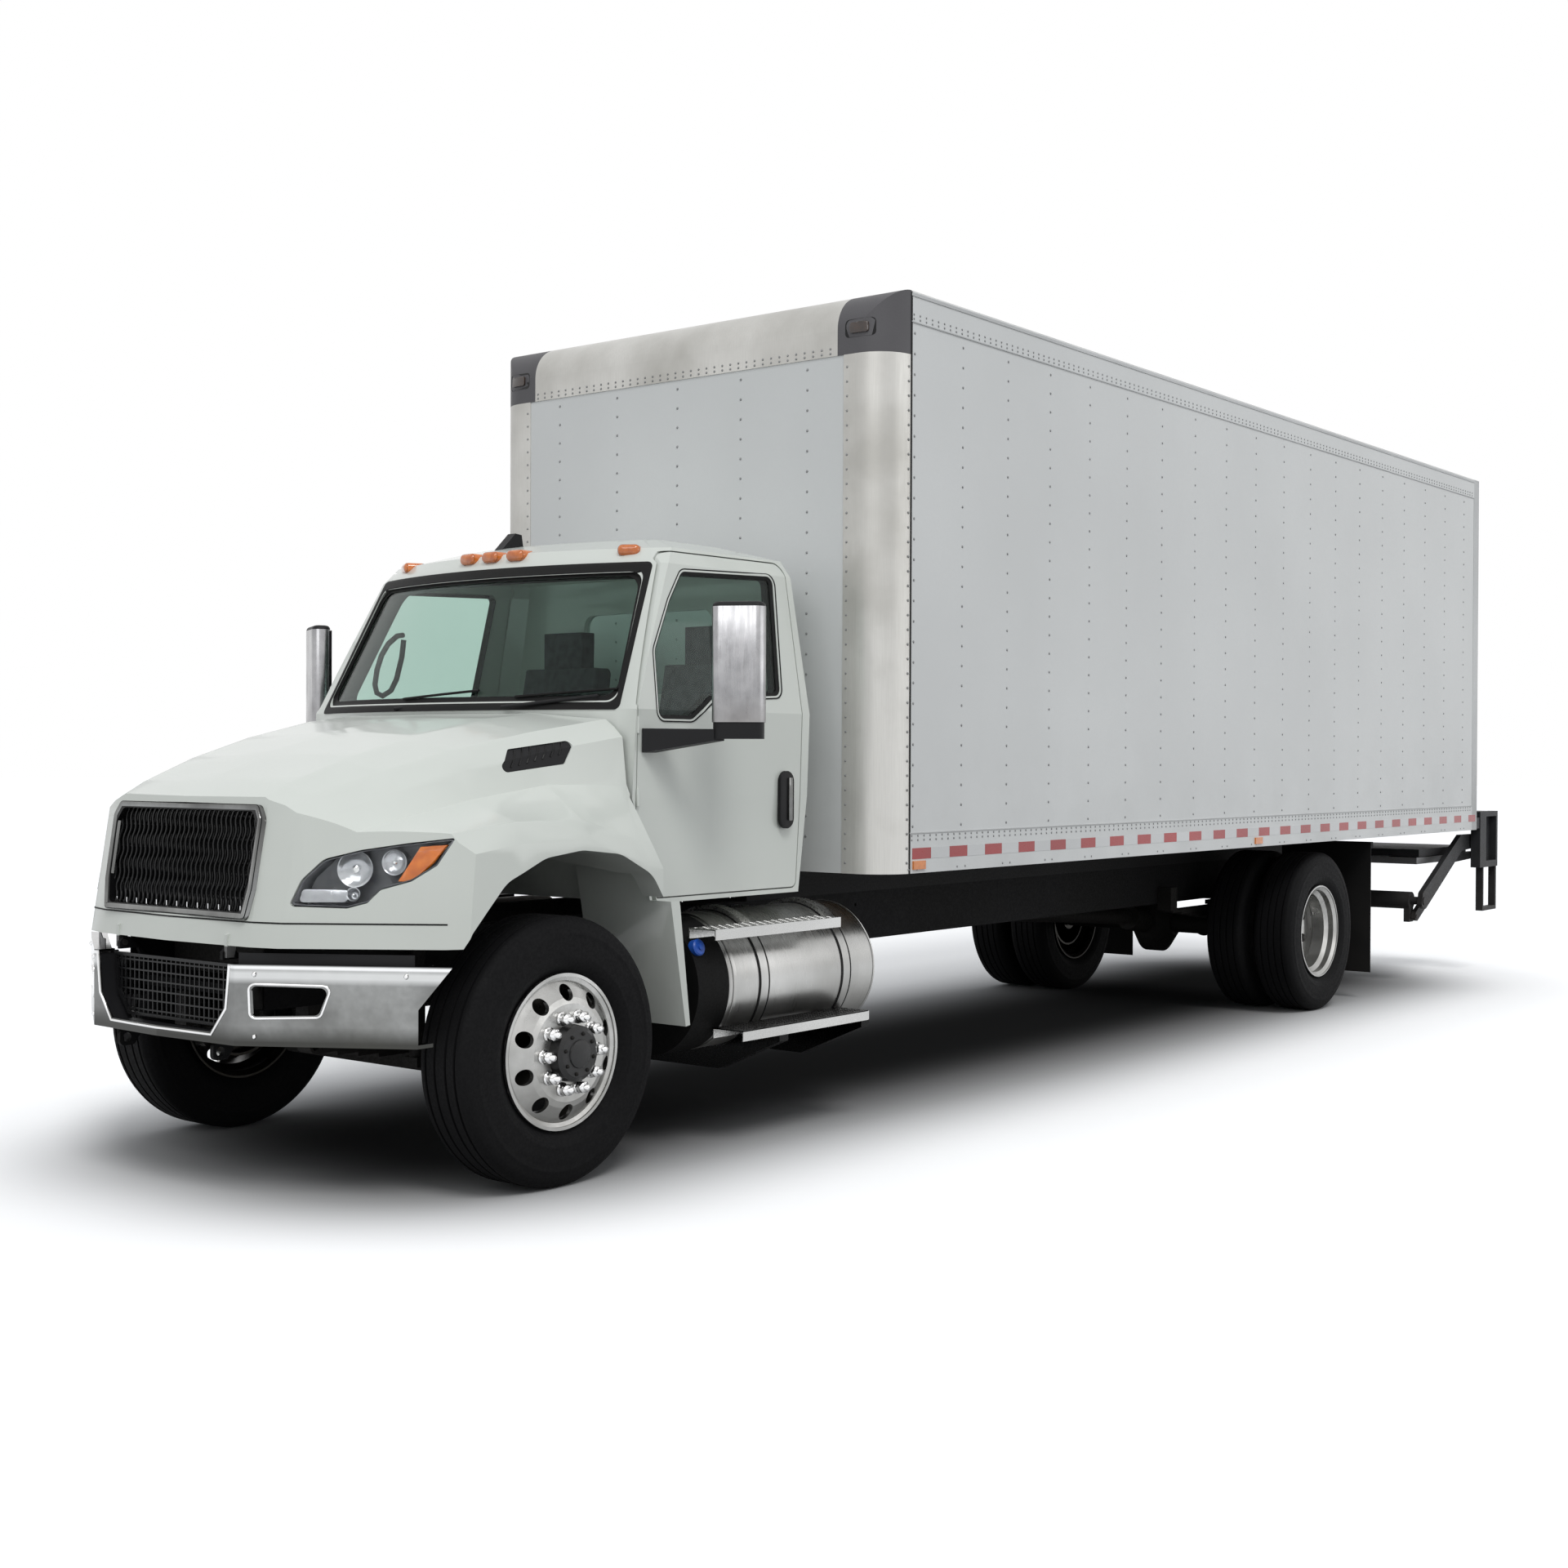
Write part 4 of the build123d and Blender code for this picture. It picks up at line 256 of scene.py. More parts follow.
def make_finishes():
    cab = bpy.context.scene.truck_cab
    body = bpy.context.scene.truck_body
    paint = tuple(cab.paint_colour)
    panel = tuple(body.panel_colour)
    dust = (0.16, 0.15, 0.13)

    def shade(colour, k):
        return tuple(c * k for c in colour)

    def wheel(name, painted_shade_y, edge):
        """Polished wheel with painted shade: black on its inner side, from the middle of the truck
        out to the given y.
        """
        return finish(name, (0.56, 0.56, 0.55), (0.36, 0.36, 0.35), metallic=1.0,
                      rough=(0.2, 0.34), patch=6, grain=30, bump=0.05,
                      dirt=(0.1, 1.0, 0.4, (0.14, 0.13, 0.11)),
                      regions=((1, -painted_shade_y, painted_shade_y, (0.015, 0.014, 0.013), edge),))

    made = {
        "cab_paint": finish("cab_paint", paint, shade(paint, 0.95), rough=(0.28, 0.36), grain=220,
                            bump=0.04, depth=0.0002, coat=0.6, coat_rough=0.08,
                            dirt=(0.5, 1.25, 0.35, dust)),
        "panel_paint": finish("panel_paint", panel, shade(panel, 0.93), rough=(0.3, 0.42),
                              patch=0.9, grain=90, bump=0.05, coat=0.25, coat_rough=0.2,
                              dirt=(1.1, 1.9, 0.22, (0.26, 0.26, 0.25))),
        "frame_paint": finish("frame_paint", (0.60, 0.61, 0.61), (0.5, 0.51, 0.51),
                              rough=(0.35, 0.5), dirt=(1.1, 1.9, 0.3, dust)),
        "rivet_paint": finish("rivet_paint", (0.34, 0.345, 0.345), (0.24, 0.245, 0.245),
                              rough=(0.4, 0.55), grain=150),
        "bare_aluminium": brushed("bare_aluminium", (0.66, 0.65, 0.62), (0.46, 0.45, 0.42),
                                  stretch=(30, 30, 0.7), rough=(0.3, 0.46), metallic=0.5),
        "roof_aluminium": brushed("roof_aluminium", (0.66, 0.66, 0.65), (0.5, 0.5, 0.5),
                                  stretch=(0.7, 30, 30), rough=(0.35, 0.5)),
        "cap_casting": finish("cap_casting", (0.095, 0.092, 0.098), (0.070, 0.068, 0.072),
                              rough=(0.5, 0.62), grain=240, bump=0.2),
        "chassis_black": finish("chassis_black", (0.008, 0.008, 0.009), (0.004, 0.004, 0.004),
                                rough=(0.55, 0.75), grain=120, bump=0.25, specular=0.12,
                                dirt=(0.2, 1.1, 0.10, (0.016, 0.015, 0.013))),
        # bumper_chrome has painted reflections: the light band near the top and the bright top
        # edge are painted highlights, and the low dark band and the dark top flange are painted
        # dark reflections; it is also made darker towards its bottom
        "bumper_chrome": finish("bumper_chrome", (0.30, 0.305, 0.30), (0.10, 0.10, 0.098),
                                metallic=1.0, rough=(0.05, 0.12), grain=25, bump=0.02,
                                patch=2.3, dirt=(0.58, 0.92, 0.45, (0.07, 0.07, 0.06)),
                                regions=((2, 0.845, 0.885, (0.58, 0.585, 0.58), 0.012),
                                         (2, 0.55, 0.650, (0.05, 0.05, 0.048), 0.030),
                                         (2, 0.888, 0.900, (0.80, 0.80, 0.80), 0.003),
                                         (2, 0.9025, 0.92, (0.10, 0.10, 0.10), 0.001))),
        "mirror_chrome": finish("mirror_chrome", (0.46, 0.46, 0.47), (0.29, 0.29, 0.30),
                                metallic=1.0, rough=(0.16, 0.34), patch=7.0, grain=14,
                                stretch=(6, 6, 0.4), bump=0.05,
                                dirt=(1.80, 1.95, 0.45, (0.12, 0.10, 0.08))),
        "bright_trim": finish("bright_trim", (0.86, 0.86, 0.86), (0.76, 0.76, 0.76),
                              metallic=1.0, rough=(0.08, 0.16), grain=60, bump=0.02),
        "black_plastic": finish("black_plastic", (0.012, 0.012, 0.013), (0.007, 0.007, 0.008),
                                rough=(0.4, 0.55), grain=420, bump=0.25, specular=0.25),
        "grille_black": finish("grille_black", (0.008, 0.008, 0.009), (0.004, 0.004, 0.004),
                               rough=(0.25, 0.4), grain=200, bump=0.15, specular=0.3),
        "rubber_seal": finish("rubber_seal", (0.008, 0.008, 0.008), (0.005, 0.005, 0.005),
                              rough=(0.5, 0.65), grain=300, bump=0.2, specular=0.2),
        "window_glass": finish("window_glass", tuple(cab.glass_colour),
                               shade(tuple(cab.glass_colour), 0.97), rough=(0.0, 0.01), grain=3,
                               bump=0.004, transmission=1.0, ior=1.2),
        "lamp_lens": finish("lamp_lens", (0.96, 0.97, 0.97), (0.92, 0.93, 0.93),
                            rough=(0.0, 0.01), grain=8, bump=0.004, transmission=1.0, ior=1.12),
        "amber_lens": finish("amber_lens", (0.72, 0.19, 0.02), (0.50, 0.11, 0.012),
                             rough=(0.08, 0.16), patch=30, grain=160, bump=0.35, coat=0.8),
        "marker_lens": finish("marker_lens", (0.80, 0.24, 0.02), (0.62, 0.17, 0.012),
                              rough=(0.1, 0.2), patch=30, grain=160, bump=0.35, coat=0.8,
                              regions=((0, -6.0, -5.19, (0.34, 0.008, 0.008), 0.002),)),
        # painted shade: the wheels' inner sides, which face under the truck, are coloured black
        "polished_wheel": wheel("polished_wheel", 1.060, 0.002),
        "dual_wheel": wheel("dual_wheel", 0.90, 0.004),
        "hub_black": finish("hub_black", (0.012, 0.012, 0.013), (0.007, 0.007, 0.007),
                            rough=(0.3, 0.5), grain=120, bump=0.2),
        "tank_aluminium": brushed("tank_aluminium", (0.58, 0.58, 0.57), (0.38, 0.38, 0.37),
                                  stretch=(26, 0.5, 0.5), rough=(0.22, 0.36),
                                  dirt=(0.38, 0.80, 0.5, (0.13, 0.12, 0.10))),
        "tread_plate": finish("tread_plate", (0.66, 0.66, 0.65), (0.48, 0.48, 0.47),
                              metallic=1.0, rough=(0.2, 0.38), grain=120, bump=0.2,
                              regions=((2, 0.0, 0.4695, (0.012, 0.012, 0.012), 0.0008),
                                       (2, 0.5098, 0.9045, (0.012, 0.012, 0.012), 0.0003))),
        "tread_rubber": finish("tread_rubber", (0.007, 0.007, 0.0075), (0.004, 0.004, 0.0045),
                               rough=(0.62, 0.8), grain=90, bump=0.5, depth=0.001, specular=0.12,
                               dirt=(0.0, 0.9, 0.12, (0.016, 0.015, 0.014))),
        "flap_rubber": finish("flap_rubber", (0.010, 0.010, 0.010), (0.006, 0.006, 0.006),
                              rough=(0.6, 0.75), grain=140, bump=0.3, specular=0.15,
                              dirt=(0.2, 0.9, 0.3, (0.05, 0.045, 0.04))),
        "interior_plastic": finish("interior_plastic", (0.055, 0.055, 0.058),
                                   (0.040, 0.040, 0.042), rough=(0.55, 0.7), grain=500,
                                   bump=0.35),
        "seat_cloth": finish("seat_cloth", (0.085, 0.085, 0.092), (0.05, 0.05, 0.056),
                             rough=(0.8, 0.95), patch=25, grain=700, bump=0.7, depth=0.001),
        "iron": finish("iron", (0.018, 0.017, 0.016), (0.009, 0.0085, 0.008), rough=(0.55, 0.8),
                       grain=90, bump=0.5, specular=0.2,
                       dirt=(0.2, 0.9, 0.3, (0.03, 0.026, 0.022))),
        "exhaust_steel": finish("exhaust_steel", (0.22, 0.20, 0.18), (0.12, 0.10, 0.085),
                                metallic=0.8, rough=(0.4, 0.6), grain=50, bump=0.2),
        "floor_wood": finish("floor_wood", (0.30, 0.19, 0.10), (0.20, 0.12, 0.06),
                             rough=(0.5, 0.65), patch=3, grain=14, stretch=(0.6, 40, 1),
                             bump=0.2),
        "beam_steel": finish("beam_steel", (0.014, 0.014, 0.015), (0.008, 0.008, 0.008),
                             rough=(0.5, 0.7), grain=100, bump=0.3, specular=0.15),
        "gate_steel": finish("gate_steel", (0.030, 0.032, 0.035), (0.015, 0.016, 0.018),
                             rough=(0.4, 0.6), patch=5, grain=110, bump=0.3, specular=0.25,
                             dirt=(0.4, 1.2, 0.3, (0.09, 0.07, 0.055))),
        "gate_aluminium": brushed("gate_aluminium", (0.40, 0.40, 0.41), (0.28, 0.28, 0.29),
                                  stretch=(0.6, 26, 26), rough=(0.35, 0.5),
                                  dirt=(0.8, 1.2, 0.3, dust)),
        "red_tape": finish("red_tape", (0.42, 0.018, 0.02), (0.30, 0.012, 0.014),
                           rough=(0.25, 0.4), grain=260, bump=0.3, coat=0.4),
        "white_tape": finish("white_tape", (0.66, 0.67, 0.67), (0.55, 0.56, 0.56),
                             rough=(0.25, 0.4), grain=260, bump=0.3, coat=0.4),
        "blue_cap": finish("blue_cap", (0.02, 0.12, 0.55), (0.012, 0.08, 0.42),
                           rough=(0.3, 0.45), grain=200, bump=0.2),
        "mirror_glass": finish("mirror_glass", (0.8, 0.82, 0.83), (0.76, 0.78, 0.79),
                               metallic=1.0, rough=(0.02, 0.04), grain=4, bump=0.004),
        "lamp_bowl": finish("lamp_bowl", (0.55, 0.56, 0.58), (0.30, 0.31, 0.33), metallic=0.8,
                            rough=(0.14, 0.26), patch=8, grain=40, bump=0.1),
        "lamp_housing": finish("lamp_housing", (0.155, 0.16, 0.17), (0.085, 0.088, 0.095),
                               metallic=0.3, rough=(0.3, 0.45), patch=14, grain=120, bump=0.15),
        "smoked_lens": finish("smoked_lens", (0.045, 0.022, 0.014), (0.025, 0.013, 0.009),
                              rough=(0.12, 0.22), patch=30, grain=160, bump=0.3, coat=0.8),
        "hinge_black": finish("hinge_black", paint, shade(paint, 0.95), rough=(0.3, 0.4),
                              grain=220, bump=0.04, depth=0.0002, coat=0.5, coat_rough=0.1,
                              dirt=(0.5, 1.25, 0.3, dust),
                              regions=((2, 0.0, 0.962, (0.012, 0.012, 0.012), 0.002),)),
    }
    return made


FINISHES = {}

CARRIED = {
    "battery_box": "chassis_black", "body_beams": "beam_steel", "body_caps": "cap_casting",
    "body_floor": "floor_wood", "body_front": "panel_paint", "body_lamps": "marker_lens",
    "body_nose": "bare_aluminium", "body_rear_frame": "frame_paint",
    "body_roof": "roof_aluminium", "body_side_left": "panel_paint",
    "body_side_right": "panel_paint", "body_sills": "beam_steel",
    "bumper_mesh": "grille_black", "cab_glass": "window_glass",
    "cab_shell": "cab_paint", "cab_trim": "black_plastic", "dashboard": "interior_plastic",
    "def_tank": "chassis_black", "dock_steps": "gate_steel", "door_left": "cab_paint",
    "door_left_glass": "window_glass", "door_right": "cab_paint",
    "door_right_glass": "window_glass", "exhaust": "exhaust_steel",
    "frame_rails": "chassis_black", "front_axle": "iron", "front_bumper": "bumper_chrome",
    "fuel_tank": "tank_aluminium", "gate_arms": "gate_steel", "gate_flap": "gate_aluminium",
    "gate_frame": "gate_steel", "gate_links": "gate_steel", "gate_platform": "gate_steel",
    "grille": "grille_black", "grille_surround": "bright_trim", "headlamps": "lamp_lens",
    "hood": "hinge_black", "hood_vents": "black_plastic", "knuckle_left": "iron",
    "knuckle_right": "iron", "mirror_left": "black_plastic", "mirror_right": "black_plastic",
    "mudflaps": "flap_rubber", "powertrain": "iron", "rear_axle": "iron",
    "roll_door": "panel_paint", "seats": "seat_cloth", "splash_panels": "cab_paint",
    "steering_wheel": "interior_plastic", "tank_steps": "tread_plate", "tie_rod": "iron",
    "tyre_front_left": "tread_rubber", "tyre_front_right": "tread_rubber",
    "tyre_rear_left": "tread_rubber", "tyre_rear_right": "tread_rubber",
    "wheel_front_left": "polished_wheel", "wheel_front_right": "polished_wheel",
    "wheel_rear_left": "dual_wheel", "wheel_rear_right": "dual_wheel",
}


# ------------------------------------------------------------------ node trees
def new_tree(name, sockets):
    tree = bpy.data.node_groups.new(name, "GeometryNodeTree")
    face = tree.interface
    face.new_socket("Geometry", in_out="INPUT", socket_type="NodeSocketGeometry")
    for label, kind, value in sockets:
        socket = face.new_socket(label, in_out="INPUT", socket_type=kind)
        if value is not None:
            socket.default_value = value
    face.new_socket("Geometry", in_out="OUTPUT", socket_type="NodeSocketGeometry")
    start = tree.nodes.new("NodeGroupInput")
    end = tree.nodes.new("NodeGroupOutput")
    return tree, start, end


def place_on_points(tree, start, end, shape, scale=None, spin=None):
    """Put a shape on every point of the layout, make it real and give it its finish."""
    add, join = links(tree)
    place = add("GeometryNodeInstanceOnPoints")
    real = add("GeometryNodeRealizeInstances")
    coat = add("GeometryNodeSetMaterial")
    join(start.outputs["Geometry"], place.inputs["Points"])
    join(shape, place.inputs["Instance"])
    join(start.outputs["Turn"], place.inputs["Rotation"])
    placed = place.outputs["Instances"]
    if scale:
        join(scale, place.inputs["Scale"])
    if spin:
        turn = add("GeometryNodeRotateInstances")
        turn.inputs["Local Space"].default_value = True
        join(placed, turn.inputs["Instances"])
        join(spin, turn.inputs["Rotation"])
        placed = turn.outputs["Instances"]
    join(placed, real.inputs["Geometry"])
    join(real.outputs["Geometry"], coat.inputs["Geometry"])
    join(start.outputs["Finish"], coat.inputs["Material"])
    join(coat.outputs["Geometry"], end.inputs["Geometry"])


def softened_edges_tree():
    """Merge loose triangles and shade them smooth up to an edge angle."""
    tree, start, end = new_tree("softened_edges", [("Angle", "NodeSocketFloat", 0.5)])
    add, join = links(tree)
    weld = add("GeometryNodeMergeByDistance")
    weld.inputs["Distance"].default_value = 0.00002
    smooth = add("GeometryNodeSetShadeSmooth", domain="FACE")
    crisp = add("GeometryNodeSetShadeSmooth", domain="EDGE")
    crisp.inputs["Shade Smooth"].default_value = False
    angle = add("GeometryNodeInputMeshEdgeAngle")
    over = add("FunctionNodeCompare", data_type="FLOAT", operation="GREATER_THAN")
    join(start.outputs["Geometry"], weld.inputs["Geometry"])
    join(weld.outputs["Geometry"], smooth.inputs["Geometry"])
    join(smooth.outputs["Geometry"], crisp.inputs["Geometry"])
    join(angle.outputs["Unsigned Angle"], over.inputs["A"])
    join(start.outputs["Angle"], over.inputs["B"])
    join(over.outputs["Result"], crisp.inputs["Selection"])
    join(crisp.outputs["Geometry"], end.inputs["Geometry"])
    return tree


def studs_tree():
    """A low domed head on every vertex of the layout, with one direction for all."""
    tree, start, end = new_tree("domed_heads", [
        ("Radius", "NodeSocketFloat", 0.005), ("Height", "NodeSocketFloat", 0.002),
        ("Sides", "NodeSocketInt", 8), ("Turn", "NodeSocketRotation", None),
        ("Finish", "NodeSocketMaterial", None)])
    add, join = links(tree)
    cone = add("GeometryNodeMeshCone")
    cone.inputs["Radius Top"].default_value = 0.0
    join(start.outputs["Sides"], cone.inputs["Vertices"])
    join(start.outputs["Radius"], cone.inputs["Radius Bottom"])
    half = add("ShaderNodeMath", operation="MULTIPLY")
    half.inputs[1].default_value = 0.55
    join(start.outputs["Radius"], half.inputs[0])
    join(half.outputs[0], cone.inputs["Radius Top"])
    join(start.outputs["Height"], cone.inputs["Depth"])
    place_on_points(tree, start, end, cone.outputs["Mesh"])
    return tree


def blocks_tree():
    """A small slanted bar on every vertex, turned one way and the other by turns."""
    tree, start, end = new_tree("raised_bars", [
        ("Size", "NodeSocketVector", (0.03, 0.008, 0.002)),
        ("Lean", "NodeSocketFloat", 0.785), ("Turn", "NodeSocketVector", (0, 0, 0)),
        ("Finish", "NodeSocketMaterial", None)])
    add, join = links(tree)
    ball = add("GeometryNodeMeshUVSphere")
    ball.inputs["Segments"].default_value = 8
    ball.inputs["Rings"].default_value = 4
    ball.inputs["Radius"].default_value = 0.5
    index = add("GeometryNodeInputIndex")
    odd = add("ShaderNodeMath", operation="MODULO")
    odd.inputs[1].default_value = 2.0
    side = add("ShaderNodeMath", operation="MULTIPLY_ADD")
    side.inputs[1].default_value = 2.0
    side.inputs[2].default_value = -1.0
    lean = add("ShaderNodeMath", operation="MULTIPLY")
    spin = add("ShaderNodeCombineXYZ")
    join(index.outputs[0], odd.inputs[0])
    join(odd.outputs[0], side.inputs[0])
    join(side.outputs[0], lean.inputs[0])
    join(start.outputs["Lean"], lean.inputs[1])
    join(lean.outputs[0], spin.inputs["Z"])
    place_on_points(tree, start, end, ball.outputs["Mesh"], start.outputs["Size"],
                    spin.outputs[0])
    return tree


TREES = {}


def added(name, data):
    """A new object, linked to the scene."""
    obj = bpy.data.objects.new(name, data)
    bpy.context.scene.collection.objects.link(obj)
    return obj


def made_plain(obj, name, tree, values):
    """Run a tree on an object and keep what it makes as a plain mesh."""
    modifier = obj.modifiers.new("layout", "NODES")
    modifier.node_group = TREES[tree]
    for item in TREES[tree].interface.items_tree:
        if item.item_type == "SOCKET" and item.in_out == "INPUT" and item.name in values:
            modifier[item.identifier] = values[item.name]
    graph = bpy.context.evaluated_depsgraph_get()
    solid = bpy.data.meshes.new_from_object(obj.evaluated_get(graph))
    obj.modifiers.clear()
    obj.data = solid
    solid.name = name
    return solid


def laid_out(name, points, tree, body, finish_name, slot, **inputs):
    """A piece made by a tree on a layout of points, turned into a plain mesh."""
    mesh = bpy.data.meshes.new(name)
    mesh.from_pydata([tuple(p) for p in points], [], [])
    obj = added(name, mesh)
    solid = made_plain(obj, name, tree, {"Finish": FINISHES[finish_name], **inputs})
    if not solid.polygons:
        raise RuntimeError(name + " came out empty")
    for face in solid.polygons:
        face.use_smooth = True
    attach(obj, body)
    return obj


# ------------------------------------------------------------------ mesh makers
def piece(name, verts, faces, body, finish_name, slot, angle=35.0, bevel=0.0, replaces=(),
          segments=2):
    """A mesh piece in the row frame, merged, turned outwards and shaded by angle."""
    mesh = bpy.data.meshes.new(name)
    mesh.from_pydata([tuple(v) for v in verts], [], faces)
    work = bmesh.new()
    work.from_mesh(mesh)
    bmesh.ops.remove_doubles(work, verts=work.verts, dist=0.00002)
    bmesh.ops.recalc_face_normals(work, faces=work.faces)
    if bevel:
        edges = [e for e in work.edges if len(e.link_faces) == 2
                 and e.calc_face_angle(0) > math.radians(25)]
        bmesh.ops.bevel(work, geom=edges, offset=bevel, segments=segments, profile=0.6,
                        affect="EDGES", clamp_overlap=True)
    work.to_mesh(mesh)
    work.free()
    obj = added(name, mesh)
    mesh.materials.append(FINISHES[finish_name])
    mesh.shade_smooth()
    mesh.set_sharp_from_angle(angle=math.radians(angle))
    if replaces:
        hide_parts(*replaces)
    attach(obj, body)
    return obj


def block_mesh(low, high):
    x0, y0, z0 = low
    x1, y1, z1 = high
    verts = [(x0, y0, z0), (x1, y0, z0), (x1, y1, z0), (x0, y1, z0),
             (x0, y0, z1), (x1, y0, z1), (x1, y1, z1), (x0, y1, z1)]
    faces = [(0, 3, 2, 1), (4, 5, 6, 7), (0, 1, 5, 4), (1, 2, 6, 5), (2, 3, 7, 6), (3, 0, 4, 7)]
    return verts, faces


def side_block(s, x, y, z):
    """A block between three pairs of limits; y is measured outwards on side s."""
    low, high = sorted((s * y[0], s * y[1]))
    return block_mesh((x[0], low, z[0]), (x[1], high, z[1]))


def merged(parts):
    """Several (verts, faces) meshes as one."""
    verts, faces = [], []
    for v, f in parts:
        base = len(verts)
        verts += list(v)
        faces += [tuple(i + base for i in face) for face in f]
    return verts, faces


def on_side(mesh, s):
    """A mesh made for the left side as it is, or mirrored to the right where s is -1."""
    if s > 0:
        return mesh
    verts, faces = mesh
    return [(x, -y, z) for x, y, z in verts], [tuple(reversed(f)) for f in faces]


def looped(loops):
    """A closed band through rings of points; the last ring joins the first."""
    n = len(loops[0])
    verts = [tuple(p) for loop in loops for p in loop]
    faces = []
    for k in range(len(loops)):
        m = (k + 1) % len(loops)
        for i in range(n):
            j = (i + 1) % n
            faces.append((k * n + i, k * n + j, m * n + j, m * n + i))
    return verts, faces


def stacked(rings):
    """A closed solid through rings of points, with a face over each end."""
    n = len(rings[0])
    verts = [tuple(p) for ring in rings for p in ring]
    faces = [(k * n + i, k * n + (i + 1) % n, (k + 1) * n + (i + 1) % n, (k + 1) * n + i)
             for k in range(len(rings) - 1) for i in range(n)]
    faces += [tuple(reversed(range(n))), tuple(range(len(verts) - n, len(verts)))]
    return verts, faces


def circle(steps):
    """Angles of equal steps round a whole turn."""
    return [2 * math.pi * i / steps for i in range(steps)]


def spaced(start, stop, step):
    """Values from start on, one step apart, as far as they don't reach stop."""
    values = []
    while (stop - start) * step > 0:
        values.append(start)
        start += step
    return values


def turned_mesh(profile, x, y, z, steps):
    """Closed (offset along Y, radius) outline turned round the Y axis through (x, y, z)."""
    return looped([[(x + radius * math.cos(a), y + offset, z + radius * math.sin(a))
                    for offset, radius in profile] for a in circle(steps)])


def bar_mesh(points, radius, sides=10):
    """Round bar or hose along a line of points, closed at both ends."""
    rings = []
    for i, p in enumerate(points):
        p = Vector(p)
        ahead = Vector(points[min(i + 1, len(points) - 1)]) - Vector(points[max(i - 1, 0)])
        ahead.normalize()
        side = ahead.orthogonal().normalized() if i == 0 else (side - ahead * side.dot(ahead))
        side.normalize()
        up = ahead.cross(side)
        rings.append([p + side * radius * math.cos(a) + up * radius * math.sin(a)
                      for a in circle(sides)])
    return stacked(rings)


def rounded(points, radii, steps=6):
    """Closed 2-D outline with its corners rounded."""
    out = []
    n = len(points)
    for i in range(n):
        p = Vector(points[i])
        a = (Vector(points[i - 1]) - p)
        b = (Vector(points[(i + 1) % n]) - p)
        r = radii[i] if isinstance(radii, (list, tuple)) else radii
        la, lb = a.length, b.length
        a.normalize()
        b.normalize()
        half = math.acos(max(-1, min(1, a.dot(b)))) / 2
        cut = min(r / max(math.tan(half), 1e-6), 0.49 * la, 0.49 * lb) if r else 0
        if cut < 1e-5:
            out.append((p.x, p.y))
            continue
        r = cut * math.tan(half)
        centre = p + (a + b).normalized() * (r / math.sin(half))
        p0, p1 = p + a * cut, p + b * cut
        v0, v1 = p0 - centre, p1 - centre
        sweep = v0.angle_signed(v1)
        for k in range(steps + 1):
            t = -sweep * k / steps
            v = Vector((v0.x * math.cos(t) - v0.y * math.sin(t),
                        v0.x * math.sin(t) + v0.y * math.cos(t)))
            out.append((centre.x + v.x, centre.y + v.y))
    return out


def grown(points, step):
    """Closed 2-D outline moved outwards by step."""
    out = []
    n = len(points)
    area = sum(points[i][0] * points[(i + 1) % n][1] - points[(i + 1) % n][0] * points[i][1]
               for i in range(n))
    sign = 1 if area > 0 else -1
    for i in range(n):
        a = Vector(points[i]) - Vector(points[i - 1])
        b = Vector(points[(i + 1) % n]) - Vector(points[i])
        if a.length < 1e-7:
            a = b.copy()
        if b.length < 1e-7:
            b = a.copy()
        na = Vector((a.y, -a.x)).normalized() * sign
        nb = Vector((b.y, -b.x)).normalized() * sign
        m = (na + nb).normalized()
        k = step / max(0.35, m.dot(na))
        out.append((points[i][0] + m.x * k, points[i][1] + m.y * k))
    return out


def surface_of(*names):
    """A tree of the CAD nodes' faces, for finding where a line meets them."""
    verts, faces = [], []
    for name in names:
        mesh = NODES[name].data
        base = len(verts)
        verts += [v.co.copy() for v in mesh.vertices]
        faces += [tuple(i + base for i in p.vertices) for p in mesh.polygons]
    return BVHTree.FromPolygons(verts, faces)


def meets(surface, start, direction):
    """Where a line first meets a surface, or None."""
    return surface.ray_cast(Vector(start), Vector(direction))[0]


def met(surface, starts, direction):
    """Where the lines from several points meet a surface; those that miss are left out."""
    found = [meets(surface, start, direction) for start in starts]
    return [hit for hit in found if hit is not None]


def from_ahead(x, s=1):
    """Lines back from the plane at x, for outlines of (outwards on side s, height)."""
    return lambda y, z: ((x, s * y, z), (-1, 0, 0))


def from_beside(s):
    """Lines inwards from beside the truck, for outlines of (station, height)."""
    return lambda d, z: ((station(d), s * 1.8, z), (0, -s, 0))


def band_on(surface, outer, inner, cast, lift, thick, steps=1):
    """A closed strip between two outlines, laid on a surface and lifted off it.

    cast(a, b) gives the start point and the direction of the line for outline point (a, b).
    """
    rows = []
    for k in range(steps + 1):
        row = []
        for (a0, b0), (a1, b1) in zip(outer, inner):
            t = k / steps
            start, direction = cast(a0 + (a1 - a0) * t, b0 + (b1 - b0) * t)
            hit = meets(surface, start, direction)
            if hit is None:
                hit = row[-1][0].copy() if row else None
            if hit is None:
                raise RuntimeError("a trim strip misses its surface")
            back = -Vector(direction)
            row.append((hit + back * lift, hit + back * (lift - thick)))
        rows.append(row)
    loops = [[p[0] for p in row] for row in rows] + [[p[1] for p in row]
                                                     for row in reversed(rows)]
    return looped(loops)


def reveal_on(surface, outline, cast, near, far, thick):
    """Ring that lines an opening, from near to far behind its outline on a surface."""
    loops = [[], [], [], []]
    for (a, b), (c, d) in zip(outline, grown(outline, -thick)):
        start, way = cast(a, b)
        hit = meets(surface, start, way)
        if hit is None:
            continue
        outer, inner, way = Vector(start), Vector(cast(c, d)[0]), Vector(way)
        run = (hit - outer).dot(way)
        for loop, base, depth in zip(loops, (outer, outer, inner, inner),
                                     (near, far, far, near)):
            loop.append(base + way * (run + depth))
    return looped(loops)


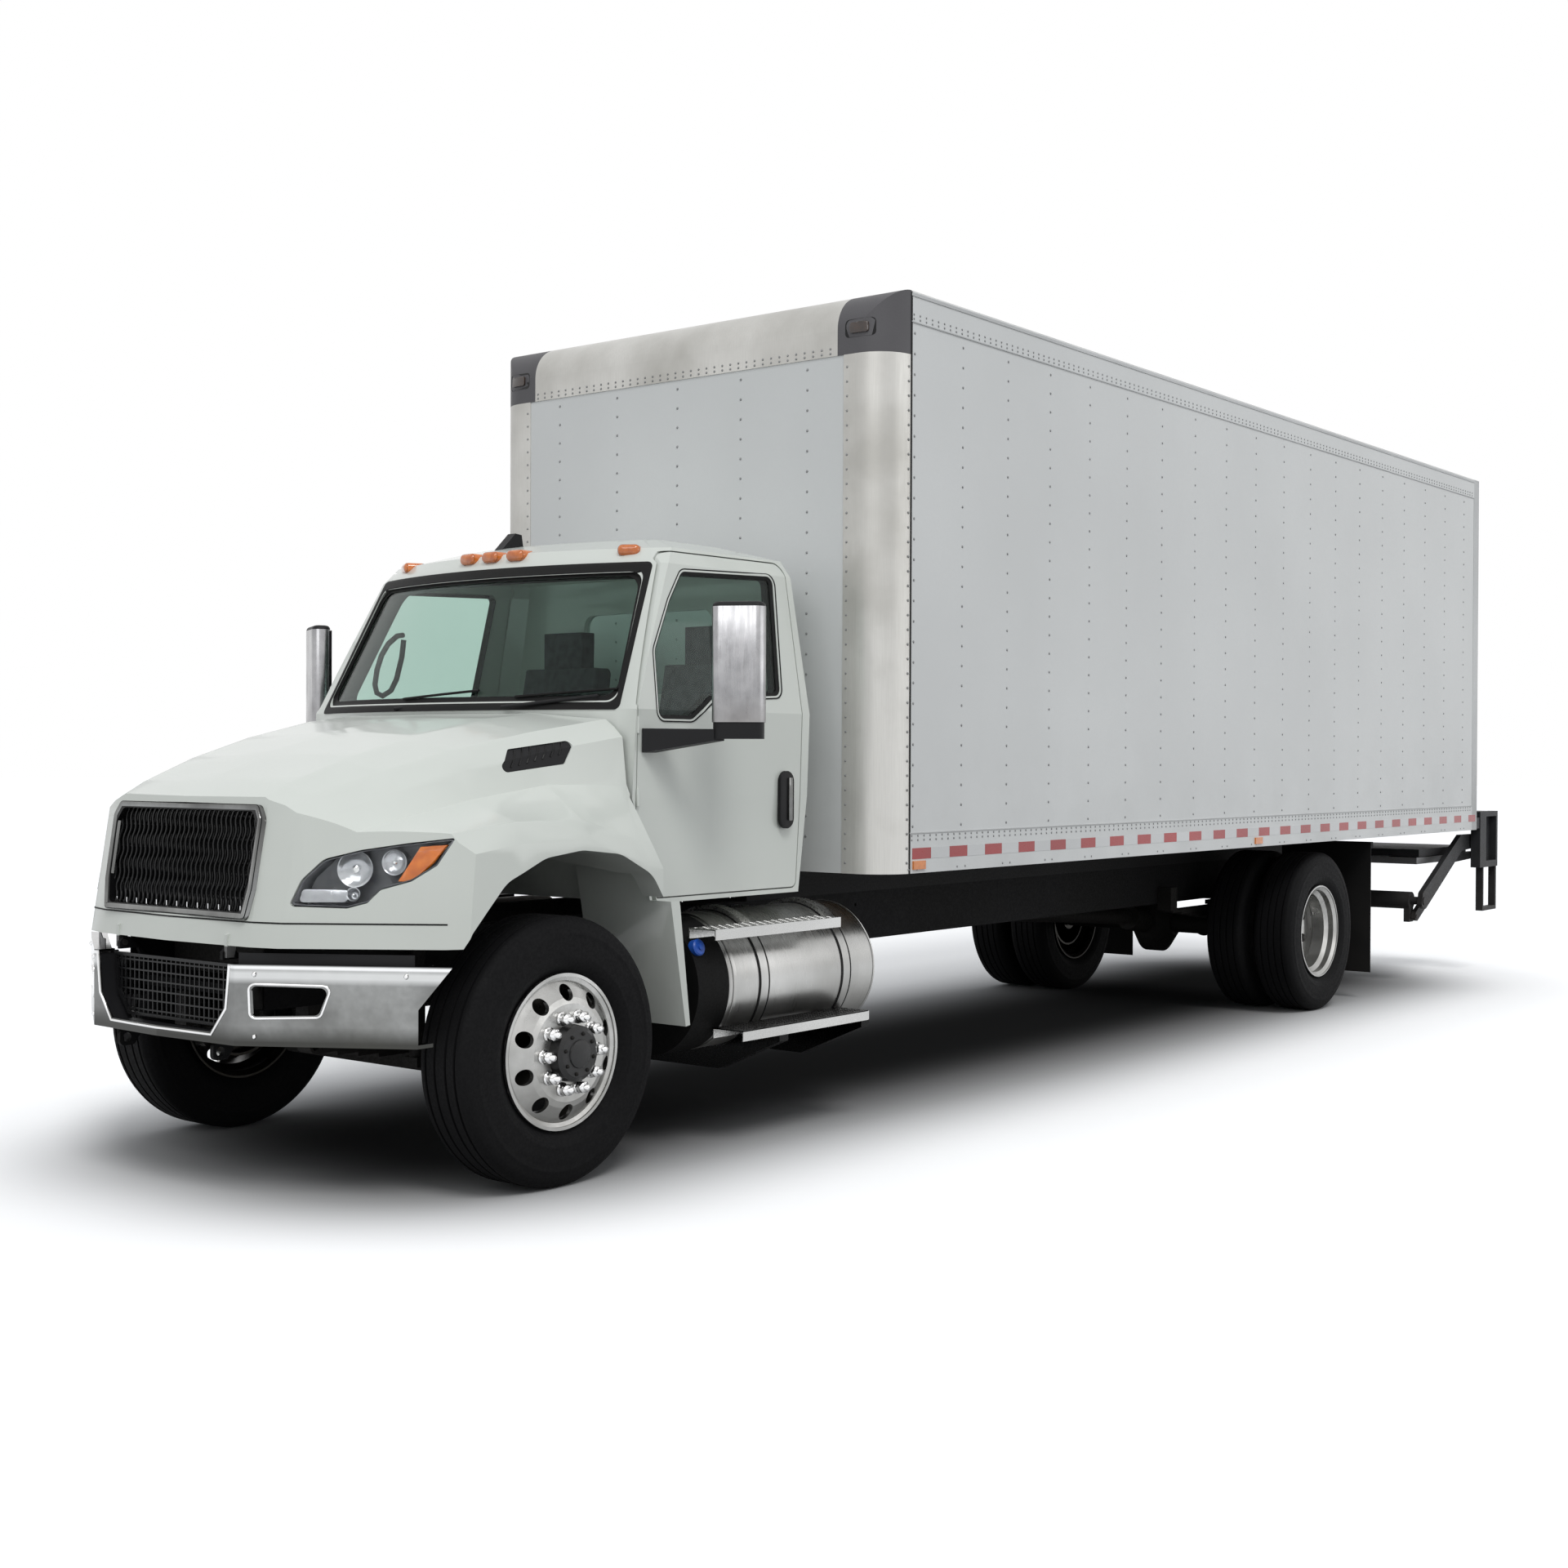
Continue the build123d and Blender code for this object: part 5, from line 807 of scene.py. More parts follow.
def lining_of(node, name, finish_name, body, keep, lift=0.003, thick=0.003):
    """A thin trim panel over those faces of a CAD node that keep() picks."""
    copy = bmesh.new()
    copy.from_mesh(NODES[node].data)
    bmesh.ops.remove_doubles(copy, verts=copy.verts, dist=0.00002)
    copy.normal_update()
    surface = BVHTree.FromBMesh(copy)
    wanted = [f for f in copy.faces if keep(f.calc_center_median(), f.normal, surface)]
    verts, faces, seen = [], [], {}
    normals = {}
    for f in wanted:
        for v in f.verts:
            normals.setdefault(v.index, Vector((0, 0, 0)))
            normals[v.index] += f.normal
    for f in wanted:
        face = []
        for v in f.verts:
            if v.index not in seen:
                seen[v.index] = len(verts)
                verts.append(tuple(v.co + normals[v.index].normalized() * lift))
            face.append(seen[v.index])
        faces.append(tuple(face))
    copy.free()
    if not faces:
        raise RuntimeError(name + " has no faces")
    mesh = bpy.data.meshes.new(name)
    mesh.from_pydata(verts, [], faces)
    obj = added(name, mesh)
    mesh.materials.append(FINISHES[finish_name])
    wall = obj.modifiers.new("wall", "SOLIDIFY")
    wall.thickness = thick
    wall.offset = -1
    mesh.shade_smooth()
    mesh.set_sharp_from_angle(angle=math.radians(35))
    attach(obj, body)
    return obj


def dense(points, step):
    """A closed outline with no side longer than step."""
    out = []
    n = len(points)
    for i in range(n):
        a = Vector(points[i])
        b = Vector(points[(i + 1) % n])
        parts = max(1, int((b - a).length / step))
        out += [tuple(a.lerp(b, k / parts)) for k in range(parts)]
    return out


def parted(points, long_side=0.15, parts=40):
    """A closed outline whose long sides are cut into equal parts."""
    out = []
    for i, point in enumerate(points):
        a, b = Vector(point), Vector(points[(i + 1) % len(points)])
        count = parts if (b - a).length > long_side else 1
        out += [tuple(a.lerp(b, k / count)) for k in range(count)]
    return out


def turned(mesh, degrees, x, y, z=0.0):
    """A mesh turned about the vertical at the origin, then moved to (x, y, z)."""
    c, s = math.cos(math.radians(degrees)), math.sin(math.radians(degrees))
    verts, faces = mesh
    return [(x + a * c - b * s, y + a * s + b * c, z + h) for a, b, h in verts], faces


def plate_on(surface, outline, cast, lift, thick):
    """A closed plate with the shape of an outline, laid flat on what lies behind it."""
    top, low = [], []
    for a, b in outline:
        start, direction = cast(a, b)
        hit = meets(surface, start, direction)
        if hit is None:
            raise RuntimeError("a plate misses its surface")
        back = -Vector(direction)
        top.append(tuple(hit + back * lift))
        low.append(tuple(hit + back * (lift - thick)))
    return stacked([low, top])


def disc_stack(centre, normal, rings, steps):
    """Closed turned shape round an axis: rings are (along, radius) pairs, ends closed."""
    axis = Vector(normal).normalized()
    side = axis.orthogonal().normalized()
    up = axis.cross(side)
    return stacked([[Vector(centre) + axis * along
                     + (side * math.cos(a) + up * math.sin(a)) * radius
                     for a in circle(steps)] for along, radius in rings])


SIDES = (("left", 1), ("right", -1))
SKINS = (("hood", "hood", 0.5), ("cab_shell", "chassis", 0.45))  # node, body, edge angle


# ------------------------------------------------------------------ CAD finishes
class TRUCK_OT_finishes(bpy.types.Operator):
    """Give every CAD node its finish, and the curved panels a smooth surface."""
    bl_idname = "truck.finishes"
    bl_label = "Finish the CAD nodes"

    def execute(self, context):
        FINISHES.update(make_finishes())
        TREES["softened_edges"] = softened_edges_tree()
        TREES["domed_heads"] = studs_tree()
        TREES["raised_bars"] = blocks_tree()
        for name, obj in NODES.items():
            obj.data.materials.clear()
            obj.data.materials.append(FINISHES[CARRIED[name]])
        for name, body, angle in SKINS:
            copy = added(name + "_skin", NODES[name].data.copy())
            solid = made_plain(copy, name + "_skin", "softened_edges", {"Angle": angle})
            solid.materials.clear()
            solid.materials.append(FINISHES[CARRIED[name]])
            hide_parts(name)
            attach(copy, body)
        return {"FINISHED"}


# ------------------------------------------------------------------ wheels
TYRE_OUT = [(0.0965, 0.2846), (0.0955, 0.306), (0.1085, 0.322), (0.1255, 0.340),
            (0.1330, 0.356), (0.1345, 0.362), (0.1365, 0.366), (0.1372, 0.371),
            (0.1368, 0.376), (0.1388, 0.400), (0.1395, 0.415), (0.1392, 0.432),
            (0.1375, 0.452), (0.1388, 0.456), (0.1382, 0.462), (0.1362, 0.466),
            (0.1335, 0.482), (0.1290, 0.497), (0.1215, 0.5065), (0.1195, 0.5095),
            (0.1160, 0.5115), (0.1080, 0.5215), (0.0955, 0.5262)]
TYRE_IN = [(0.0715, 0.2846), (0.0715, 0.306), (0.1055, 0.360), (0.1155, 0.415),
           (0.1055, 0.478), (0.0795, 0.500)]
NUTS = 10
HUB_BOLTS = 8
FRONT_HUB = [(0.1522, 0.1118), (0.195, 0.1080), (0.2062, 0.0900), (0.2072, 0.0560),
             (0.2125, 0.0540), (0.2145, 0.0500), (0.2150, 0.0), (0.2046, 0.0),
             (0.2046, 0.0884), (0.1942, 0.1066), (0.1522, 0.1103)]
REAR_HUB = [(0.0145, 0.0985), (0.0225, 0.0985), (0.0235, 0.0945), (0.0712, 0.0938),
            (0.0872, 0.0720), (0.1186, 0.0680), (0.1205, 0.0620), (0.1205, 0.0),
            (0.1184, 0.0), (0.1184, 0.0663), (0.0865, 0.0706), (0.0705, 0.0925),
            (0.0145, 0.0925)]
TYRE_HALF = 0.1395
TREAD_R = 0.5268
GROOVE_SLOPE = 0.0015


def tyre_profile(grooves, width, depth):
    """Half section of a tyre, tread grooves included, mirrored to the whole."""
    crown = list(TYRE_OUT)
    for at_offset in sorted(grooves, reverse=True):
        out, into = at_offset + width / 2, at_offset - width / 2
        crown += [(out, TREAD_R), (out - GROOVE_SLOPE, TREAD_R - depth),
                  (into + GROOVE_SLOPE, TREAD_R - depth), (into, TREAD_R + 0.0001)]
    whole = crown + [(-o, r) for o, r in reversed(crown)]
    inside = [(-o, r) for o, r in TYRE_IN] + list(reversed(TYRE_IN))
    return whole + inside


class TRUCK_OT_tyres(bpy.types.Operator):
    """Turn the six tyres with ribbed treads and ringed sidewalls."""
    bl_idname = "truck.tyres"
    bl_label = "Turn the tyres"

    def execute(self, context):
        depth = context.scene.truck_wheels.groove_depth
        rib = tyre_profile((0.078, 0.029), 0.012, depth)
        drive = tyre_profile((0.070, 0.022), 0.010, depth)
        front = turned_mesh(rib, AXLE_X, WHEEL_Y, TYRE_R, 96)
        rear = merged([turned_mesh(drive, REAR_X, y, TYRE_R, 96)
                       for y in (DUAL_IN_Y + TYRE_HALF, DUAL_OUT_Y - TYRE_HALF)])
        for side, s in SIDES:
            for mesh, node, body in (
                    (front, "tyre_front_" + side, "front_%s_wheel" % side),
                    (rear, "tyre_rear_" + side, "rear_%s_wheels" % side)):
                piece(node + "_cover", *on_side(mesh, s), body, "tread_rubber", "tread_rubber",
                      angle=40, replaces=(node,))
        return {"FINISHED"}


def nut_tree():
    """Flanged hexagon nut with its stud on every vertex of the layout."""
    tree, start, end = new_tree("wheel_nuts", [
        ("Turn", "NodeSocketRotation", None), ("Finish", "NodeSocketMaterial", None)])
    add, join = links(tree)
    join_all = add("GeometryNodeJoinGeometry")
    for sides, radius, length in ((20, 0.0275, 0.008), (6, 0.0235, 0.043), (12, 0.0115, 0.062)):
        part = add("GeometryNodeMeshCylinder")
        part.inputs["Vertices"].default_value = sides
        part.inputs["Radius"].default_value = radius
        part.inputs["Depth"].default_value = length
        move = add("GeometryNodeTransform")
        move.inputs["Translation"].default_value = (0, 0, length / 2)
        join(part.outputs["Mesh"], move.inputs["Geometry"])
        join(move.outputs["Geometry"], join_all.inputs["Geometry"])
    place_on_points(tree, start, end, join_all.outputs["Geometry"])
    return tree


def facing(direction):
    """Euler angles that turn +Z to a direction."""
    return tuple(Vector((0, 0, 1)).rotation_difference(Vector(direction)).to_euler())


class TRUCK_OT_wheel_trim(bpy.types.Operator):
    """Bolt bright nuts and black hub covers on the wheels."""
    bl_idname = "truck.wheel_trim"
    bl_label = "Trim the wheels"

    def execute(self, context):
        TREES["wheel_nuts"] = nut_tree()
        reach = context.scene.truck_wheels.nut_circle
        dual_mid = (DUAL_IN_Y + DUAL_OUT_Y) / 2
        for side, s in SIDES:
            for end, x, y, face, hub, ring, out, body in (
                    ("front", AXLE_X, WHEEL_Y, 0.152, FRONT_HUB, 0.078, 0.2066,
                     "front_%s_wheel" % side),
                    ("rear", REAR_X, dual_mid, 0.014, REAR_HUB, 0.083, 0.079,
                     "rear_%s_wheels" % side)):
                points = [(x + reach * math.cos(a), s * (y + face + 0.0002),
                           TYRE_R + reach * math.sin(a)) for a in circle(NUTS)]
                laid_out("nuts_%s_%s" % (end, side), points, "wheel_nuts", body, "bright_trim",
                         "bumper_chrome", Turn=facing((0, s, 0)))
                mesh = turned_mesh(hub, x, y, TYRE_R, 56)
                piece("hub_cover_%s_%s" % (end, side), *on_side(mesh, s), body, "hub_black",
                      "chassis_black", angle=30)
                turns = [2 * math.pi * (i + 0.3) / HUB_BOLTS for i in range(HUB_BOLTS)]
                bolts = [(x + ring * math.cos(a), s * (y + out), TYRE_R + ring * math.sin(a))
                         for a in turns]
                laid_out("hub_bolts_%s_%s" % (end, side), bolts, "domed_heads", body, "iron",
                         "iron", Radius=0.009, Height=0.008, Sides=6, Turn=facing((0, s, 0)))
        return {"FINISHED"}


# ------------------------------------------------------------------ body
REAR_POST = 0.11
SHEET_LOW, SHEET_TOP = 1.352, 3.69
POST_FOOT_Z, POST_FOOT_HALF = 1.150, 0.035
RAIL_ROWS = (1.288, 1.308, 3.722, 3.742)
CORNER_RIVETS_Y = 1.056
FRONT_LOW, FRONT_TOP = 1.30, 3.53
FRONT_POST_PITCH = 0.41
POST_TOP = 3.54
POST_RIVET_PITCH = 0.068
HEADER_ROWS = (3.566, 3.588)
PROUD = 0.0008
TAPE_FRONT = -2.118
TAPE_SIDE_Z = (1.198, 1.250)
TAPE_REAR_Z = (1.228, 1.262)
TAPE_REAR_Y = (-1.26, 1.27)
TAPE_GAP = 0.001
DRIPS = ((3.826, 3.842, 0.004), (3.704, 3.711, 0.003), (1.317, 1.324, 0.003))  # z, z, out
HINGES = 10
HINGE_LOW, HINGE_PITCH, HINGE_HALF = 1.40, 0.2478, 0.03
CAP_POCKET = [(1.045, 3.628), (1.205, 3.628), (1.205, 3.712), (1.045, 3.712)]
CAP_LENS = [(1.075, 3.645), (1.175, 3.645), (1.175, 3.695), (1.075, 3.695)]


def post_rows(settings):
    """X of every side post's middle, from the front."""
    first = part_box("body_side_left")[1].x - 0.030
    count = int((first - BODY_REAR - 0.14) / settings.post_pitch) + 1
    return [first - i * settings.post_pitch for i in range(count)]


class TRUCK_OT_rivets(bpy.types.Operator):
    """Set the rivets of the body's posts, rails, corner posts and header."""
    bl_idname = "truck.rivets"
    bl_label = "Set the body's rivets"

    def heads(self, name, points, coat, radius, height, sides, turn):
        laid_out(name, points, "domed_heads", "chassis", coat, "bare_aluminium", Radius=radius,
                 Height=height, Sides=sides, Turn=facing(turn))

    def execute(self, context):
        settings = context.scene.truck_body
        r = settings.rivet_radius
        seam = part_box("body_side_left")[1].x
        rear = BODY_REAR + REAR_POST
        on_post = spaced(BODY_LOW + 0.05, POST_TOP, POST_RIVET_PITCH)
        for side, s in SIDES:
            sheet_y, rail_y = s * (SIDE_Y - 0.002), s * SIDE_Y
            on_sheet = [(x, sheet_y + s * PROUD, z) for x in post_rows(settings)
                        for z in spaced(SHEET_LOW, SHEET_TOP, settings.rivet_pitch)]
            on_rail = [(x + dx, rail_y + s * PROUD, POST_FOOT_Z) for x in post_rows(settings)
                       for dx in (-POST_FOOT_HALF, POST_FOOT_HALF)]
            on_rail += [(x, rail_y + s * PROUD, z)
                        for x in spaced(seam - 0.02, rear + 0.02, -settings.rail_pitch)
                        for z in RAIL_ROWS]
            on_nose = [(seam + 0.018, rail_y + s * PROUD, z) for z in on_post]
            turn = (0, s, 0)
            self.heads("sheet_rivets_" + side, on_sheet, "rivet_paint", r, 0.0026, 8, turn)
            self.heads("rail_rivets_" + side, on_rail, "rivet_paint", r * 0.85, 0.0024, 6, turn)
            self.heads("post_rivets_" + side, on_nose, "rivet_paint", r, 0.0024, 8, turn)
        ahead = [(BODY_FRONT + PROUD, s * CORNER_RIVETS_Y, z) for s in (1, -1)
                 for z in on_post]
        ahead += [(BODY_FRONT + PROUD, y, z) for y in spaced(-0.98, 0.985, settings.rail_pitch)
                  for z in HEADER_ROWS]
        self.heads("header_rivets", ahead, "rivet_paint", r * 0.9, 0.002, 8, (1, 0, 0))
        front = [(BODY_FRONT - 0.0032, i * FRONT_POST_PITCH, z) for i in range(-2, 3)
                 for z in spaced(FRONT_LOW, FRONT_TOP, settings.rivet_pitch)]
        self.heads("front_rivets", front, "rivet_paint", r, 0.0022, 8, (1, 0, 0))
        above = [(x, s * (SIDE_Y - 0.02), BODY_TOP + PROUD)
                 for x in spaced(seam - 0.04, rear, -settings.rail_pitch * 2) for s in (1, -1)]
        self.heads("roof_rivets", above, "frame_paint", r, 0.002, 6, (0, 0, 1))
        return {"FINISHED"}


class TRUCK_OT_tape(bpy.types.Operator):
    """Stick red and white marking tape along the body's rails and its rear."""
    bl_idname = "truck.tape"
    bl_label = "Stick the marking tape"

    def execute(self, context):
        settings = context.scene.truck_body
        pitch, block = settings.tape_pitch, settings.tape_block
        red, white = [], []
        last = BODY_REAR + 0.02
        layer = (SIDE_Y + 0.0002, SIDE_Y + 0.0012)
        for x in spaced(station(TAPE_FRONT), last + block, -pitch):
            for s in (1, -1):
                for a, b, into in ((x, x - block, red),
                                   (x - block - TAPE_GAP, x - pitch + TAPE_GAP, white)):
                    if b > last:
                        into.append(side_block(s, (b, a), layer, TAPE_SIDE_Z))
        low, high = BODY_REAR - 0.0012, BODY_REAR - 0.0002
        z0, z1 = TAPE_REAR_Z
        first, end = TAPE_REAR_Y
        for y in spaced(first, end - block, pitch):
            red.append(block_mesh((low, y, z0), (high, y + block, z1)))
            if y + pitch < end:
                white.append(block_mesh((low, y + block + TAPE_GAP, z0),
                                        (high, y + pitch - TAPE_GAP, z1)))
        for s in (1, -1):
            white.append(side_block(s, (low, high), (1.03, 1.18), (3.715, 3.735)))
            white.append(side_block(s, (low, high), (1.225, 1.26), (3.45, 3.70)))
        piece("tape_red", *merged(red), "chassis", "red_tape", "amber_lens", angle=20)
        piece("tape_white", *merged(white), "chassis", "white_tape", "frame_paint", angle=20)
        return {"FINISHED"}


class TRUCK_OT_body_trim(bpy.types.Operator):
    """Add the body's drip rails, cap lamps, corner seams and door hardware."""
    bl_idname = "truck.body_trim"
    bl_label = "Trim the body"

    def execute(self, context):
        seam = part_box("body_side_left")[1].x
        rear = BODY_REAR + REAR_POST
        drips, seams, steel, rubber = [], [], [], []
        inset = SIDE_Y - 0.003
        for s in (1, -1):
            for z0, z1, out in DRIPS:
                drips.append(side_block(s, (rear, seam), (inset, SIDE_Y + out), (z0, z1)))
            seams.append(side_block(s, (seam - 0.006, seam + 0.004), (inset, SIDE_Y + 0.0025),
                                    (BODY_LOW, 3.845)))
            for i in range(HINGES):
                z = HINGE_LOW + i * HINGE_PITCH
                steel.append(side_block(s, (BODY_REAR + 0.052, BODY_REAR + 0.0665),
                                        (1.13, 1.198), (z - HINGE_HALF, z + HINGE_HALF)))
            rubber.append(side_block(s, (BODY_REAR - 0.03, BODY_REAR - 0.0005), (0.62, 0.74),
                                     (1.14, 1.20)))
        piece("body_drips", *merged(drips), "chassis", "frame_paint", "frame_paint",
              bevel=0.001, segments=1)
        piece("body_seams", *merged(seams), "chassis", "rubber_seal", "black_plastic")
        piece("door_hinges", *merged(steel), "chassis", "bare_aluminium", "bare_aluminium",
              bevel=0.002, segments=1)
        piece("rear_bumpers", *merged(rubber), "chassis", "flap_rubber", "flap_rubber",
              bevel=0.004)
        latch = [block_mesh((BODY_REAR + 0.047, -0.075, 1.345), (BODY_REAR + 0.0535, 0.075, 1.40)),
                 block_mesh((BODY_REAR + 0.032, -0.02, 1.33), (BODY_REAR + 0.0535, 0.02, 1.46))]
        strap = bar_mesh([(BODY_REAR + 0.05, 0.16, 1.44), (BODY_REAR + 0.045, 0.17, 1.40),
                          (BODY_REAR + 0.048, 0.165, 1.33)], 0.009, 8)
        piece("door_latch", *merged(latch), "chassis", "gate_steel", "bare_aluminium",
              bevel=0.003)
        piece("door_strap", *strap, "chassis", "rubber_seal", "black_plastic")
        surface = surface_of("body_caps")
        pockets, lenses = [], []
        for s in (1, -1):
            corner = rounded(CAP_POCKET, 0.02)
            cast = from_ahead(BODY_FRONT + 1, s)
            pockets.append(plate_on(surface, dense(corner, 0.02), cast, 0.0012, 0.004))
            lens = rounded(CAP_LENS, 0.012)
            lenses.append(plate_on(surface, dense(lens, 0.02), cast, 0.010, 0.012))
        piece("cap_pockets", *merged(pockets), "chassis", "grille_black", "black_plastic")
        piece("cap_lamps", *merged(lenses), "chassis", "smoked_lens", "amber_lens",
              bevel=0.004)
        return {"FINISHED"}


# ------------------------------------------------------------------ nose of the hood
NOSE_TILT = math.atan(0.166)
GRILLE = [(-0.448, 1.062), (0.448, 1.062), (0.470, 1.180), (0.474, 1.440), (0.440, 1.492),
          (-0.440, 1.492), (-0.474, 1.440), (-0.470, 1.180)]
GRILLE_RADII = [0.022, 0.022, 0.0, 0.040, 0.030, 0.030, 0.040, 0.0]
BAR_PITCH = 0.0295
WAVE_DEPTH = 0.0062
WAVE_LENGTH = 0.092
BAR_LOW = 1.092
LAMP_BOWLS = ((0.796, 1.256, 0.066), (0.912, 1.281, 0.046), (0.800, 1.166, 0.026))  # y, z, r
BOWL_DEPTH = 0.0345
LAMP_AMBER = [(0.929, 1.212), (0.952, 1.212), (0.984, 1.228), (1.026, 1.282), (1.064, 1.345),
              (0.984, 1.338)]
LAMP_TROUGH = [(0.634, 1.134), (0.778, 1.136), (0.778, 1.180), (0.640, 1.180)]
BUMPER_OPENING = [(0.497, 0.834), (0.768, 0.830), (0.731, 0.714), (0.502, 0.706)]
BUMPER_BOLTS = ((0.515, 0.869), (0.516, 0.640), (1.005, 0.869))
MESH_EDGE = ((-0.424, 0.898), (-0.404, 0.738), (-0.322, 0.636), (-0.16, 0.636), (0.0, 0.636),
             (0.16, 0.636), (0.322, 0.636), (0.404, 0.738), (0.424, 0.898))
LINER_DEPTH = 0.09
FILLER_Z = (0.862, 0.944)
FILLER_INSET = 0.036


def leant(d, y, z):
    """A point of the upright grille, at station d, tilted back with the nose."""
    x0, z0 = station(0.966), 1.053
    dx, dz = station(d) - x0, z - z0
    c, s = math.cos(NOSE_TILT), math.sin(NOSE_TILT)
    return (x0 + dx * c - dz * s, y, z0 + dx * s + dz * c)


class TRUCK_OT_grille(bpy.types.Operator):
    """Add the grille's bright surround and its wavy bars."""
    bl_idname = "truck.grille"
    bl_label = "Fit the grille"

    def execute(self, context):
        outline = dense(rounded(GRILLE, GRILLE_RADII, 8), 0.05)
        ring = 0.026
        loops = []
        for step, d in ((0.0006, 0.936), (0.0006, 0.984), (-0.005, 0.9915),
                        (-ring + 0.008, 0.9915), (-ring - 0.0012, 0.982), (-ring - 0.0012, 0.936)):
            loops.append([leant(d, y, z) for y, z in grown(outline, step)])
        piece("grille_surround", *looped(loops), "hood", "bumper_chrome", "bumper_chrome",
              angle=50)
        bars = []
        for i in range(-15, 16):
            line = []
            for k in range(33):
                z = BAR_LOW + k * 0.0118
                wave = WAVE_DEPTH * math.sin((z - 1.09) * 2 * math.pi / WAVE_LENGTH)
                line.append(leant(0.9635, i * BAR_PITCH + wave, z))
            bars.append(bar_mesh(line, 0.0052, 6))
        piece("grille_waves", *merged(bars), "hood", "grille_black", "black_plastic", angle=60)
        ticks = []
        for i in range(-6, 7):
            y = i * 0.066
            a, b = leant(0.960, y - 0.0022, 1.094), leant(0.972, y + 0.0022, 1.112)
            ticks.append(block_mesh([min(p) for p in zip(a, b)], [max(p) for p in zip(a, b)]))
        piece("grille_ticks", *merged(ticks), "hood", "bright_trim", "bumper_chrome")
        outline = rounded(GRILLE, GRILLE_RADII, 4)
        inner = grown(outline, -0.02)
        backing = stacked([[leant(d, y, z) for y, z in inner] for d in (0.925, 0.929)])
        piece("grille_backing", *backing, "hood", "grille_black", "black_plastic")
        surface = surface_of("hood")
        line = []
        for k in range(-66, 67):
            turn = math.radians(k * 1.15)
            aim = Vector((math.cos(turn), math.sin(turn), 0))
            hit = meets(surface, Vector((station(0.30), 0, 1.056)) + aim * 3, -aim)
            if hit is not None:
                line.append(hit)
        piece("nose_seam", *bar_mesh(line, 0.0032, 6), "hood", "rubber_seal", "black_plastic")
        return {"FINISHED"}


class TRUCK_OT_headlamps(bpy.types.Operator):
    """Make each headlamp a clear lens over a dark housing with two bowls."""
    bl_idname = "truck.headlamps"
    bl_label = "Build the headlamps"

    def execute(self, context):
        lens = lining_of("headlamps", "lamp_lenses", "lamp_lens", "hood",
                         lambda c, n, surface: n.x > 0.25, lift=0.0, thick=0.003)
        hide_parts("headlamps")
        lining_of("headlamps", "lamp_housings", "lamp_housing", "hood",
                  lambda c, n, surface: n.x < 0.2, lift=-0.0045, thick=0.003)
        surface = surface_of("headlamps")
        bowls, bulbs, wedges, troughs = [], [], [], []
        for s in (1, -1):
            cast = from_ahead(station(2.0), s)
            for y, z, r in LAMP_BOWLS:
                hit = surface.ray_cast(*[Vector(v) for v in cast(y, z)])
                point, normal = hit[0], hit[1]
                if normal.x < 0:
                    normal = -normal
                base = point - normal * BOWL_DEPTH
                bowls.append(disc_stack(base, normal, [
                    (0.0, r * 0.2), (0.006, r * 0.62), (0.014, r * 0.85), (0.024, r),
                    (0.0252, r), (0.0245, r - 0.004), (0.016, r * 0.80), (0.008, r * 0.5),
                    (0.004, 0.012)], 36))
                bulbs.append(disc_stack(base + normal * 0.004, normal, [
                    (0.0, r * 0.22), (0.013, r * 0.2), (0.018, r * 0.1)], 20))
            wedges.append(plate_on(surface, dense(LAMP_AMBER, 0.02), cast, -0.0045, 0.010))
            trough = rounded(LAMP_TROUGH, 0.012)
            troughs.append(plate_on(surface, dense(trough, 0.02), cast, -0.012, 0.006))
        piece("lamp_bowls", *merged(bowls), "hood", "lamp_bowl", "bumper_chrome", angle=50)
        piece("lamp_bulbs", *merged(bulbs), "hood", "bright_trim", "bumper_chrome")
        piece("lamp_troughs", *merged(troughs), "hood", "lamp_bowl", "bumper_chrome",
              bevel=0.002)
        piece("lamp_ambers", *merged(wedges), "hood", "amber_lens", "amber_lens", bevel=0.002)
        return {"FINISHED"}


